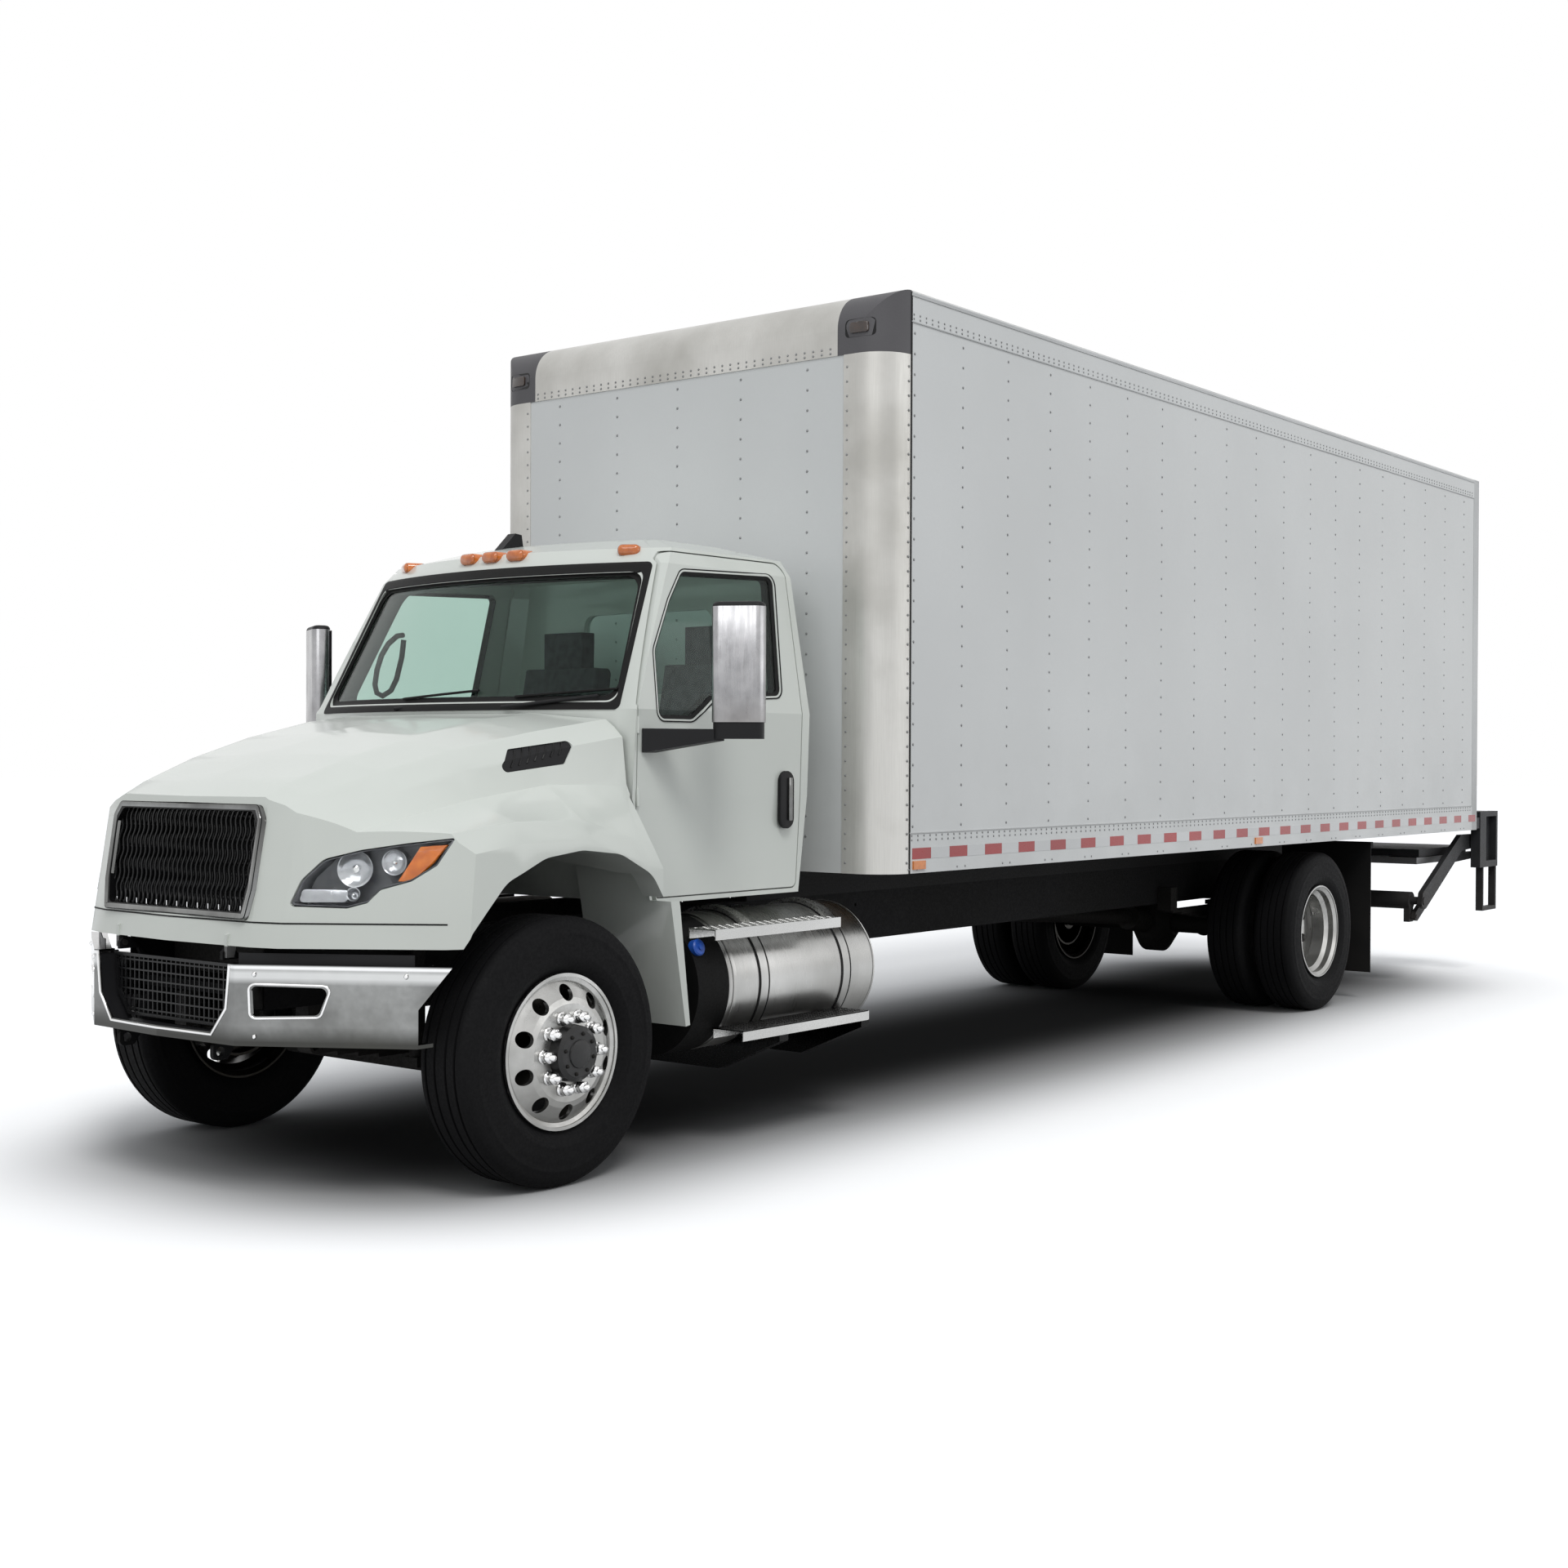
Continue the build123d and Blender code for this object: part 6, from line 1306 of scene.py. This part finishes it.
class TRUCK_OT_bumper_trim(bpy.types.Operator):
    """Roll bright lips round the bumper's openings and set its bolts."""
    bl_idname = "truck.bumper_trim"
    bl_label = "Trim the bumper"

    def execute(self, context):
        surface = surface_of("front_bumper")
        ahead, back = station(2.0), (-1, 0, 0)
        opening = dense(rounded(BUMPER_OPENING, 0.022, 6), 0.03)
        lips, bolts, fillers = [], [], []
        for s in (1, -1):
            path = met(surface, [(ahead, s * y, z) for y, z in opening], back)
            lips.append(bar_mesh(path + path[:1], 0.0052, 8))
            bolts += met(surface, [(ahead, s * y, z) for y, z in BUMPER_BOLTS], back)
        path = met(surface, [(ahead, y, z) for y, z in MESH_EDGE], back)
        lips.append(bar_mesh(path, 0.0055, 8))
        piece("bumper_lips", *merged(lips), "chassis", "bright_trim", "bumper_chrome", angle=60)
        middle = Vector((0, 0, 0.72))
        liner = []
        for p in path:
            q = middle + (p - middle) * 0.985
            liner.append([(p.x - 0.004, p.y, p.z), (p.x - LINER_DEPTH, p.y, p.z),
                          (p.x - LINER_DEPTH, q.y, q.z), (p.x - 0.004, q.y, q.z)])
        piece("bumper_liner", *stacked(liner), "chassis", "black_plastic", "black_plastic",
              angle=40)
        for s in (1, -1):
            front = met(surface, [(ahead, s * (0.43 + 0.048 * k), 0.880) for k in range(13)],
                        back)
            low, high = FILLER_Z
            fillers.append(stacked([[(p.x - FILLER_INSET - deep, p.y, z) for z, deep in
                                     ((low, 0.0), (high, 0.0), (high, 0.004), (low, 0.004))]
                                    for p in front]))
        piece("bumper_fillers", *merged(fillers), "chassis", "black_plastic", "black_plastic",
              angle=40)
        laid_out("bumper_bolts", bolts, "domed_heads", "chassis", "bright_trim",
                 "bumper_chrome", Radius=0.011, Height=0.006, Sides=16,
                 Turn=facing((0.9, 0.0, 0.0)))
        return {"FINISHED"}


# ------------------------------------------------------------------ cab
WINDSCREEN = [(-0.906, 1.925), (0.906, 1.925), (0.818, 2.446), (-0.818, 2.446)]
WINDSCREEN_RADII = [0.05, 0.05, 0.08, 0.08]
SCREEN_BORDER = [(-0.951, 1.868), (0.951, 1.868), (0.862, 2.508), (-0.862, 2.508)]
SCREEN_BORDER_RADII = [0.02, 0.02, 0.03, 0.03]
DOOR_WINDOW = [(-0.640, 1.832), (-0.860, 1.832), (-1.005, 1.925), (-1.474, 1.950),
               (-1.530, 2.494), (-0.900, 2.470), (-0.796, 2.338), (-0.664, 2.120)]
DOOR_WINDOW_RADII = [0.040, 0.060, 0.060, 0.040, 0.040, 0.050, 0.060, 0.080]
ROOF_LAMPS = ((0.0, -0.700, 0), (0.150, -0.706, 4), (-0.150, -0.706, -4),
              (0.700, -0.826, 30), (-0.700, -0.826, -30))
ROOF_LAMP_Z = 2.564
ROOF_LAMP_HALF = (0.0495, 0.0255)
WIPERS_Y = (-0.24, 0.44)
WIPER_SPAN, WIPER_LOW, WIPER_RISE = 0.47, 1.925, 0.03
LOUVRES = 8
HANDLE_D = (-1.5445, -1.4465)
HANDLE_Z = (1.353, 1.612)
SEAT_Y = 0.47
MIRROR_AT = (-0.775, 1.354)
MIRROR_TOE = 28


class TRUCK_OT_windows(bpy.types.Operator):
    """Lay black rubber round the windscreen and the door windows."""
    bl_idname = "truck.windows"
    bl_label = "Seal the windows"

    def execute(self, context):
        width = context.scene.truck_cab.seal_width
        surface = surface_of("cab_shell", "cab_glass")
        cast = from_ahead(station(1.0))
        inner = parted(rounded(WINDSCREEN, WINDSCREEN_RADII, 8))
        outer = parted(rounded(SCREEN_BORDER, SCREEN_BORDER_RADII, 8))
        seal = band_on(surface, outer, inner, cast, 0.004, 0.012, 6)
        piece("windscreen_seal", *seal, "chassis", "rubber_seal", "black_plastic", angle=50)
        reveal = reveal_on(surface, inner, cast, 0.014, 0.110, 0.003)
        piece("windscreen_reveal", *reveal, "chassis", "rubber_seal", "black_plastic", angle=50)
        for side, s in SIDES:
            surface = surface_of("door_" + side, "door_%s_glass" % side)
            cast = from_beside(s)
            line = dense(rounded(DOOR_WINDOW, DOOR_WINDOW_RADII, 8), 0.03)
            seal = band_on(surface, grown(line, width * 0.45), grown(line, -width * 0.5), cast,
                           0.003, 0.014)
            piece("window_seal_" + side, *seal, "door_" + side, "rubber_seal", "black_plastic",
                  angle=50)
            reveal = reveal_on(surface, grown(line, -width * 0.5), cast, 0.012, 0.046, 0.003)
            piece("window_reveal_" + side, *reveal, "door_" + side, "rubber_seal",
                  "black_plastic", angle=50)
        return {"FINISHED"}


def rounded_block(low, high, radius, crown):
    """Upright block with rounded vertical edges and a top that draws in by crown."""
    outline = rounded([(low[0], low[1]), (high[0], low[1]), (high[0], high[1]),
                       (low[0], high[1])], radius, 8)
    levels = ((0.0, low[2]), (0.0, high[2] - crown), (-crown * 0.3, high[2] - crown * 0.35),
              (-crown, high[2]))
    return stacked([[(x, y, z) for x, y in grown(outline, step)] for step, z in levels])


class TRUCK_OT_mirrors(bpy.types.Operator):
    """Cover the mirror heads in chrome and glaze their backs."""
    bl_idname = "truck.mirrors"
    bl_label = "Cover the mirrors"

    def execute(self, context):
        for side, s in SIDES:
            head = rounded_block((-0.0448, -0.1108, 1.8162), (0.0448, 0.1108, 2.3128), 0.0368,
                                 0.022)
            glass = merged([block_mesh((-0.0470, -0.088, 2.01), (-0.0446, 0.088, 2.28)),
                            block_mesh((-0.0470, -0.088, 1.85), (-0.0446, 0.088, 1.985))])
            rim = []
            for y0, y1, z0, z1 in ((-0.095, 0.095, 1.988, 2.007), (-0.095, -0.089, 1.842, 2.288),
                                   (0.089, 0.095, 1.842, 2.288), (-0.095, 0.095, 1.842, 1.849),
                                   (-0.095, 0.095, 2.281, 2.288)):
                rim.append(block_mesh((-0.049, y0, z0), (-0.0446, y1, z1)))
            head, glass, frame_bits = [turned(mesh, MIRROR_TOE, station(MIRROR_AT[0]),
                                              MIRROR_AT[1])
                                       for mesh in (head, glass, merged(rim))]
            for name, mesh, coat, slot in (
                    ("mirror_head_", head, "mirror_chrome", "bumper_chrome"),
                    ("mirror_glass_", glass, "mirror_glass", "bumper_chrome"),
                    ("mirror_rim_", frame_bits, "black_plastic", "black_plastic")):
                piece(name + side, *on_side(mesh, s), "door_" + side, coat, slot, angle=40)
        return {"FINISHED"}


class TRUCK_OT_cab_trim(bpy.types.Operator):
    """Add roof lamp lenses, wiper blades, vent louvres and door handles."""
    bl_idname = "truck.cab_trim"
    bl_label = "Trim the cab"

    def execute(self, context):
        a, b = ROOF_LAMP_HALF
        outline = rounded([(-a, -b), (a, -b), (a, b), (-a, b)], 0.0225, 6)
        lens = stacked([[(x, a, b) for a, b in grown(outline, step)]
                        for x, step in ((-0.03, 0.0), (0.040, 0.0), (0.050, -0.004),
                                        (0.056, -0.014))])
        lenses = [turned(lens, degrees, station(d), y, ROOF_LAMP_Z)
                  for y, d, degrees in ROOF_LAMPS]
        piece("roof_lenses", *merged(lenses), "chassis", "amber_lens", "amber_lens", angle=50)
        surface = surface_of("cab_glass")
        blades = []
        for y in WIPERS_Y:
            starts = [(station(1.0), y + WIPER_SPAN * k / 8, WIPER_LOW + WIPER_RISE * k / 8)
                      for k in range(9)]
            line = [hit + Vector((0.012, 0, 0)) for hit in met(surface, starts, (-1, 0, 0))]
            if len(line) > 2:
                blades.append(bar_mesh(line, 0.006, 6))
        piece("wiper_blades", *merged(blades), "chassis", "rubber_seal", "black_plastic")
        vent = surface_of("hood_vents")
        louvres = []
        for s in (1, -1):
            for k in range(LOUVRES):
                starts = [(station(0.040 - 0.036 * k - 0.052 * t / 6), s * 1.8,
                           1.628 + 0.0085 * k + 0.080 * t / 6) for t in range(7)]
                line = [hit for hit in met(vent, starts, (0, -s, 0)) if abs(hit.y) > 0.4]
                if len(line) > 3:
                    louvres.append(bar_mesh(line, 0.0042, 6))
        piece("vent_louvres", *merged(louvres), "hood", "grille_black", "black_plastic",
              angle=60)
        (x0, x1), (z0, z1) = [station(d) for d in HANDLE_D], HANDLE_Z
        outline = rounded([(x0, z0), (x1, z0), (x1, z1), (x0, z1)], 0.048, 10)
        cup = stacked([[(x, y, z) for x, z in grown(outline, step)]
                       for step, y in ((0.0, 1.026), (0.0, 1.041), (-0.003, 1.0436))])
        strip = block_mesh((station(-1.5215), 1.036, 1.388), (station(-1.4945), 1.0545, 1.582))
        for side, s in SIDES:
            piece("handle_cup_" + side, *on_side(cup, s), "door_" + side, "black_plastic",
                  "black_plastic", angle=45)
            piece("handle_strip_" + side, *on_side(strip, s), "door_" + side, "bumper_chrome",
                  "bumper_chrome", bevel=0.003, segments=2)
        return {"FINISHED"}


class TRUCK_OT_cab_inside(bpy.types.Operator):
    """Pad the seats and hang the grab handle."""
    bl_idname = "truck.cab_inside"
    bl_label = "Furnish the cab"

    def pad(self, low, high, crown, axis):
        """Cushion over a block: grid faces that swell towards the outer side."""
        n = 8
        size = [b - a for a, b in zip(low, high)]
        u_axis, v_axis = [i for i in range(3) if i != axis]
        verts, faces = [], []
        for layer in (0, 1):
            for i in range(n + 1):
                for j in range(n + 1):
                    u, v = i / n, j / n
                    p = [0.0, 0.0, 0.0]
                    p[u_axis] = low[u_axis] + size[u_axis] * u
                    p[v_axis] = low[v_axis] + size[v_axis] * v
                    swell = crown * (1 - (2 * u - 1) ** 4) * (1 - (2 * v - 1) ** 4)
                    groove = 0.008 * math.exp(-((abs(2 * u - 1) - 0.62) / 0.05) ** 2)
                    p[axis] = high[axis] + swell - groove if layer else low[axis]
                    verts.append(tuple(p))
        m = n + 1
        for layer in (0, 1):
            base = layer * m * m
            for i in range(n):
                for j in range(n):
                    q = (base + i * m + j, base + i * m + j + 1, base + (i + 1) * m + j + 1,
                         base + (i + 1) * m + j)
                    faces.append(q if layer else tuple(reversed(q)))
        edge = ([i * m for i in range(m)] + [n * m + j for j in range(1, m)]
                + [i * m + n for i in range(n - 1, -1, -1)] + [j for j in range(n - 1, 0, -1)])
        for k in range(len(edge)):
            a, b = edge[k], edge[(k + 1) % len(edge)]
            faces.append((a, b, b + m * m, a + m * m))
        return verts, faces

    def execute(self, context):
        for side, s in SIDES:
            y = s * SEAT_Y
            seat = self.pad((station(-1.548), y - 0.254, 1.50), (station(-1.052), y + 0.254,
                                                                 1.536), 0.028, 2)
            cushion = piece("seat_pad_" + side, *seat, "chassis", "seat_cloth", "seat_cloth",
                            angle=60, bevel=0.010)
            verts, faces = self.pad((-0.03, y - 0.244, 0.0), (0.006, y + 0.244, 0.560), 0.026, 0)
            leaned = [(station(-1.473) - (z * 0.19) + x, yy, 1.552 + z) for x, yy, z in verts]
            back = piece("seat_back_pad_" + side, leaned, faces, "chassis", "seat_cloth",
                         "seat_cloth", angle=60, bevel=0.010)
        grab = bar_mesh([(station(-0.842), -0.800, 2.252), (station(-0.800), -0.792, 2.246),
                         (station(-0.752), -0.800, 2.205), (station(-0.722), -0.812, 2.150),
                         (station(-0.706), -0.826, 2.080), (station(-0.700), -0.834, 2.010),
                         (station(-0.716), -0.840, 1.972), (station(-0.752), -0.842, 1.958),
                         (station(-0.800), -0.838, 1.985), (station(-0.826), -0.828, 2.040),
                         (station(-0.846), -0.812, 2.150), (station(-0.850), -0.804, 2.230)],
                        0.013, 10)
        piece("grab_handle", *grab, "chassis", "black_plastic", "interior_plastic", angle=60)
        return {"FINISHED"}


# ------------------------------------------------------------------ chassis
TANK_Y, TANK_Z = 0.82, 0.69
STRAPS_D = (-1.240, -1.840)
STRAP_RUBBER = [(-0.036, 0.2998), (-0.036, 0.3032), (0.036, 0.3032), (0.036, 0.2998)]
TANK_SEAM = [(0.0, 0.2995), (0.0015, 0.3012), (0.0065, 0.3012), (0.008, 0.2995)]
TREAD_ROWS = 0.018
TREAD_PITCH = 0.026


class TRUCK_OT_steps(bpy.types.Operator):
    """Raise the tread bars on the steps."""
    bl_idname = "truck.steps"
    bl_label = "Raise the step treads"

    def execute(self, context):
        bar = context.scene.truck_wheels.tread_bar
        surface = surface_of("tank_steps")
        for name, top, d0, d1, y0, y1 in (("upper", 1.2, -0.835, -1.670, 1.070, 1.185),
                                          ("lower", 0.7, -0.970, -1.830, 1.090, 1.225)):
            points = []
            for i, y in enumerate(spaced(y0, y1, TREAD_ROWS)):
                shift = TREAD_PITCH / 2 if i % 2 else 0.0
                starts = [(station(d), y, top) for d in spaced(d0 - shift, d1, -TREAD_PITCH)]
                points += [hit + Vector((0, 0, 0.0002))
                           for hit in met(surface, starts, (0, 0, -1))]
            if not points:
                raise RuntimeError(name + " step has no tread")
            laid_out("tread_%s_step" % name, points, "raised_bars", "chassis", "tread_plate",
                     "bare_aluminium", Size=(bar * 0.72, 0.0065, 0.0042), Lean=0.785)
        return {"FINISHED"}


class TRUCK_OT_tanks(bpy.types.Operator):
    """Add rubber under the tank straps, the tank's seams and the blue filler cap."""
    bl_idname = "truck.tanks"
    bl_label = "Dress the tanks"

    def hoop(self, x, profile):
        """A flat ring round the fuel tank; the profile is (along X, radius) pairs."""
        return looped([[(x + along, TANK_Y + r * math.cos(a), TANK_Z + r * math.sin(a))
                        for along, r in profile] for a in circle(72)])

    def execute(self, context):
        straps = [self.hoop(station(d), STRAP_RUBBER) for d in STRAPS_D]
        piece("strap_rubbers", *merged(straps), "chassis", "rubber_seal", "black_plastic",
              angle=40)
        seams = [self.hoop(x, TANK_SEAM) for x in (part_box("fuel_tank")[1].x - 0.030,
                                                   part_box("fuel_tank")[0].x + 0.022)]
        piece("tank_seams", *merged(seams), "chassis", "tank_aluminium", "tank_aluminium",
              angle=40)
        foot = Vector((station(-0.838), 1.036, 0.8548))
        radius = 0.036
        cap = disc_stack(foot, (0, 0.085, 0.023), [
            (0.0, radius * 0.86), (0.022, radius * 0.86), (0.024, radius), (0.054, radius),
            (0.060, radius - 0.006), (0.061, radius * 0.4), (0.068, radius * 0.36)], 32)
        piece("blue_filler_cap", *cap, "chassis", "blue_cap", "black_plastic",
              angle=40)
        return {"FINISHED"}


# ------------------------------------------------------------------ stage
# painted shadow on the floor: a rounded strip under the truck, how far the shadow reaches and its
# darkest and palest tones; the glow fades in away from the truck
SHADE_X = 0.265
SHADE_HALF_LENGTH = 4.2
SHADE_HALF_WIDTH = 0.2
SHADE_REACH = 1.8
SHADE_TONES = (0.05, 0.96)
GLOW = 0.24
GLOW_FROM_TO = (1.0, 2.4)
FLOOR_SIZE = 120.0
FLOOR_Z = -0.001
LIGHTS = (("sun", "SUN", 1.15, (6.0, 9.0, 14.0), (0.0, 0.0, 0.0), math.radians(20), 0.0),
          ("key", "AREA", 260, (14.0, 4.0, 9.0), (4.0, 0.0, 1.4), 8.0, 5.0),
          ("side", "AREA", 160, (-3.0, 12.0, 5.0), (-1.5, 1.0, 1.8), 12.0, 4.0))
CAMERA_AT = (5.43488004, 6.51187118, 1.67100774)
CAMERA_YAW, CAMERA_PITCH, CAMERA_ROLL = 3.79614192, -0.00898081607, 0.00425257953
CAMERA_LENS = 45.00624
CAMERA_SHIFT = (-0.01927, -0.0054)


class TRUCK_OT_stage(bpy.types.Operator):
    """Set the pale floor with its painted shadow, the white world, the soft lights and the camera.
    """
    bl_idname = "truck.stage"
    bl_label = "Set the stage"

    def light(self, name, kind, energy, where, aim, size, size_y):
        """One light aimed at a point; its size is the sun's angle or the panel's sides."""
        data = bpy.data.lights.new(name, kind)
        data.energy = energy
        if kind == "AREA":
            data.shape = "RECTANGLE"
            data.size = size
            data.size_y = size_y
        else:
            data.angle = size
        obj = added(name, data)
        obj.location = where
        obj.rotation_euler = (Vector(aim) - Vector(where)).to_track_quat("-Z", "Y").to_euler()

    def floor_finish(self):
        """Pale floor with a painted shadow: darker the nearer it is to the line under the truck.
        """
        material = bpy.data.materials.new("stage_floor")
        material.use_nodes = True
        tree = material.node_tree
        add, join = links(tree)
        tree.nodes.clear()
        out = add("ShaderNodeOutputMaterial")
        pale = add("ShaderNodeBsdfDiffuse")
        axes = add("ShaderNodeSeparateXYZ")
        join(add("ShaderNodeTexCoord").outputs["Object"], axes.inputs[0])
        along = maths(tree, "ABSOLUTE", maths(tree, "SUBTRACT", axes.outputs["X"], SHADE_X))
        along = maths(tree, "MAXIMUM", maths(tree, "SUBTRACT", along, SHADE_HALF_LENGTH))
        aside = maths(tree, "SUBTRACT", maths(tree, "ABSOLUTE", axes.outputs["Y"]),
                      SHADE_HALF_WIDTH)
        aside = maths(tree, "MAXIMUM", aside)
        away = maths(tree, "SQRT", maths(tree, "ADD", maths(tree, "MULTIPLY", along, along),
                                         maths(tree, "MULTIPLY", aside, aside)))
        # painted shadow: the floor's colour darkens towards the strip under the truck
        soft = ranged(tree, away, 0.0, SHADE_REACH, 0.0, 1.0)
        soft.node.interpolation_type = "SMOOTHSTEP"
        join(ranged(tree, maths(tree, "POWER", soft, 1.5), 0.0, 1.0, *SHADE_TONES),
             pale.inputs["Color"])
        # the glow fades out near the truck, which deepens the painted shadow
        glow = add("ShaderNodeEmission")
        glow.inputs["Color"].default_value = (1, 1, 1, 1)
        join(ranged(tree, away, *GLOW_FROM_TO, 0.0, GLOW), glow.inputs["Strength"])
        lit = add("ShaderNodeAddShader")
        join(pale.outputs[0], lit.inputs[0])
        join(glow.outputs[0], lit.inputs[1])
        plain = add("ShaderNodeBsdfDiffuse")
        plain.inputs["Color"].default_value = (0.24, 0.24, 0.24, 1)
        mix = add("ShaderNodeMixShader")
        join(seen_directly(tree), mix.inputs[0])
        join(plain.outputs[0], mix.inputs[1])
        join(lit.outputs[0], mix.inputs[2])
        join(mix.outputs[0], out.inputs["Surface"])
        return material

    def execute(self, context):
        scene = context.scene
        verts = [(x * FLOOR_SIZE, y * FLOOR_SIZE, FLOOR_Z)
                 for x, y in ((-1, -1), (1, -1), (1, 1), (-1, 1))]
        mesh = bpy.data.meshes.new("floor")
        mesh.from_pydata(verts, [], [(0, 1, 2, 3)])
        mesh.materials.append(self.floor_finish())
        added("floor", mesh)

        world = bpy.data.worlds.new("studio")
        scene.world = world
        world.use_nodes = True
        tree = world.node_tree
        tree.nodes.clear()
        add, join = links(tree)
        out = add("ShaderNodeOutputWorld")
        mix = add("ShaderNodeMixShader")
        sky = add("ShaderNodeBackground")
        sky.inputs["Color"].default_value = (0.93, 0.96, 1.0, 1)
        sky.inputs["Strength"].default_value = 0.60
        white = add("ShaderNodeBackground")
        white.inputs["Color"].default_value = (1, 1, 1, 1)
        white.inputs["Strength"].default_value = 1.0
        join(seen_directly(tree), mix.inputs[0])
        join(sky.outputs[0], mix.inputs[1])
        join(white.outputs[0], mix.inputs[2])
        join(mix.outputs[0], out.inputs["Surface"])

        for settings in LIGHTS:
            self.light(*settings)

        yaw, pitch, roll = CAMERA_YAW, CAMERA_PITCH, CAMERA_ROLL
        d = Vector((math.cos(yaw) * math.cos(pitch), math.sin(yaw) * math.cos(pitch),
                    math.sin(pitch)))
        r = Vector((math.sin(yaw), -math.cos(yaw), 0))
        up = r.cross(d)
        r2 = r * math.cos(roll) + up * math.sin(roll)
        u2 = up * math.cos(roll) - r * math.sin(roll)
        data = bpy.data.cameras.new("camera")
        data.sensor_width = 36.0
        data.lens = CAMERA_LENS
        data.shift_x, data.shift_y = CAMERA_SHIFT
        data.clip_end = 300
        camera = added("camera", data)
        place = Matrix((r2, u2, -d)).transposed().to_4x4()
        place.translation = Vector((station(CAMERA_AT[0]), *CAMERA_AT[1:]))
        camera.matrix_world = place
        scene.camera = camera
        scene.view_settings.view_transform = "Standard"
        return {"FINISHED"}


OPERATORS = (TRUCK_OT_finishes, TRUCK_OT_tyres, TRUCK_OT_wheel_trim, TRUCK_OT_rivets,
             TRUCK_OT_tape, TRUCK_OT_body_trim, TRUCK_OT_grille, TRUCK_OT_headlamps,
             TRUCK_OT_bumper_trim, TRUCK_OT_windows, TRUCK_OT_mirrors, TRUCK_OT_cab_trim,
             TRUCK_OT_cab_inside, TRUCK_OT_steps, TRUCK_OT_tanks, TRUCK_OT_stage)


class TRUCK_PT_looks(bpy.types.Panel):
    """Sizes, colours and steps of the truck's looks"""
    bl_label = "Box truck"
    bl_idname = "TRUCK_PT_looks"
    bl_space_type = "VIEW_3D"
    bl_region_type = "UI"
    bl_category = "Truck"

    def draw(self, context):
        scene = context.scene
        for settings in (scene.truck_body, scene.truck_cab, scene.truck_wheels):
            for key in settings.__annotations__:
                self.layout.prop(settings, key)
        for operator in OPERATORS:
            self.layout.operator(operator.bl_idname)


CLASSES = (TruckBodySettings, TruckCabSettings, TruckWheelSettings) + OPERATORS + (
    TRUCK_PT_looks,)


def register():
    for item in CLASSES:
        bpy.utils.register_class(item)
    bpy.types.Scene.truck_body = bpy.props.PointerProperty(type=TruckBodySettings)
    bpy.types.Scene.truck_cab = bpy.props.PointerProperty(type=TruckCabSettings)
    bpy.types.Scene.truck_wheels = bpy.props.PointerProperty(type=TruckWheelSettings)


def unregister():
    del bpy.types.Scene.truck_wheels
    del bpy.types.Scene.truck_cab
    del bpy.types.Scene.truck_body
    for item in reversed(CLASSES):
        bpy.utils.unregister_class(item)


def main():
    register()
    for operator in OPERATORS:
        group, name = operator.bl_idname.split(".")
        getattr(getattr(bpy.ops, group), name)()


if __name__ == "__main__":
    main()
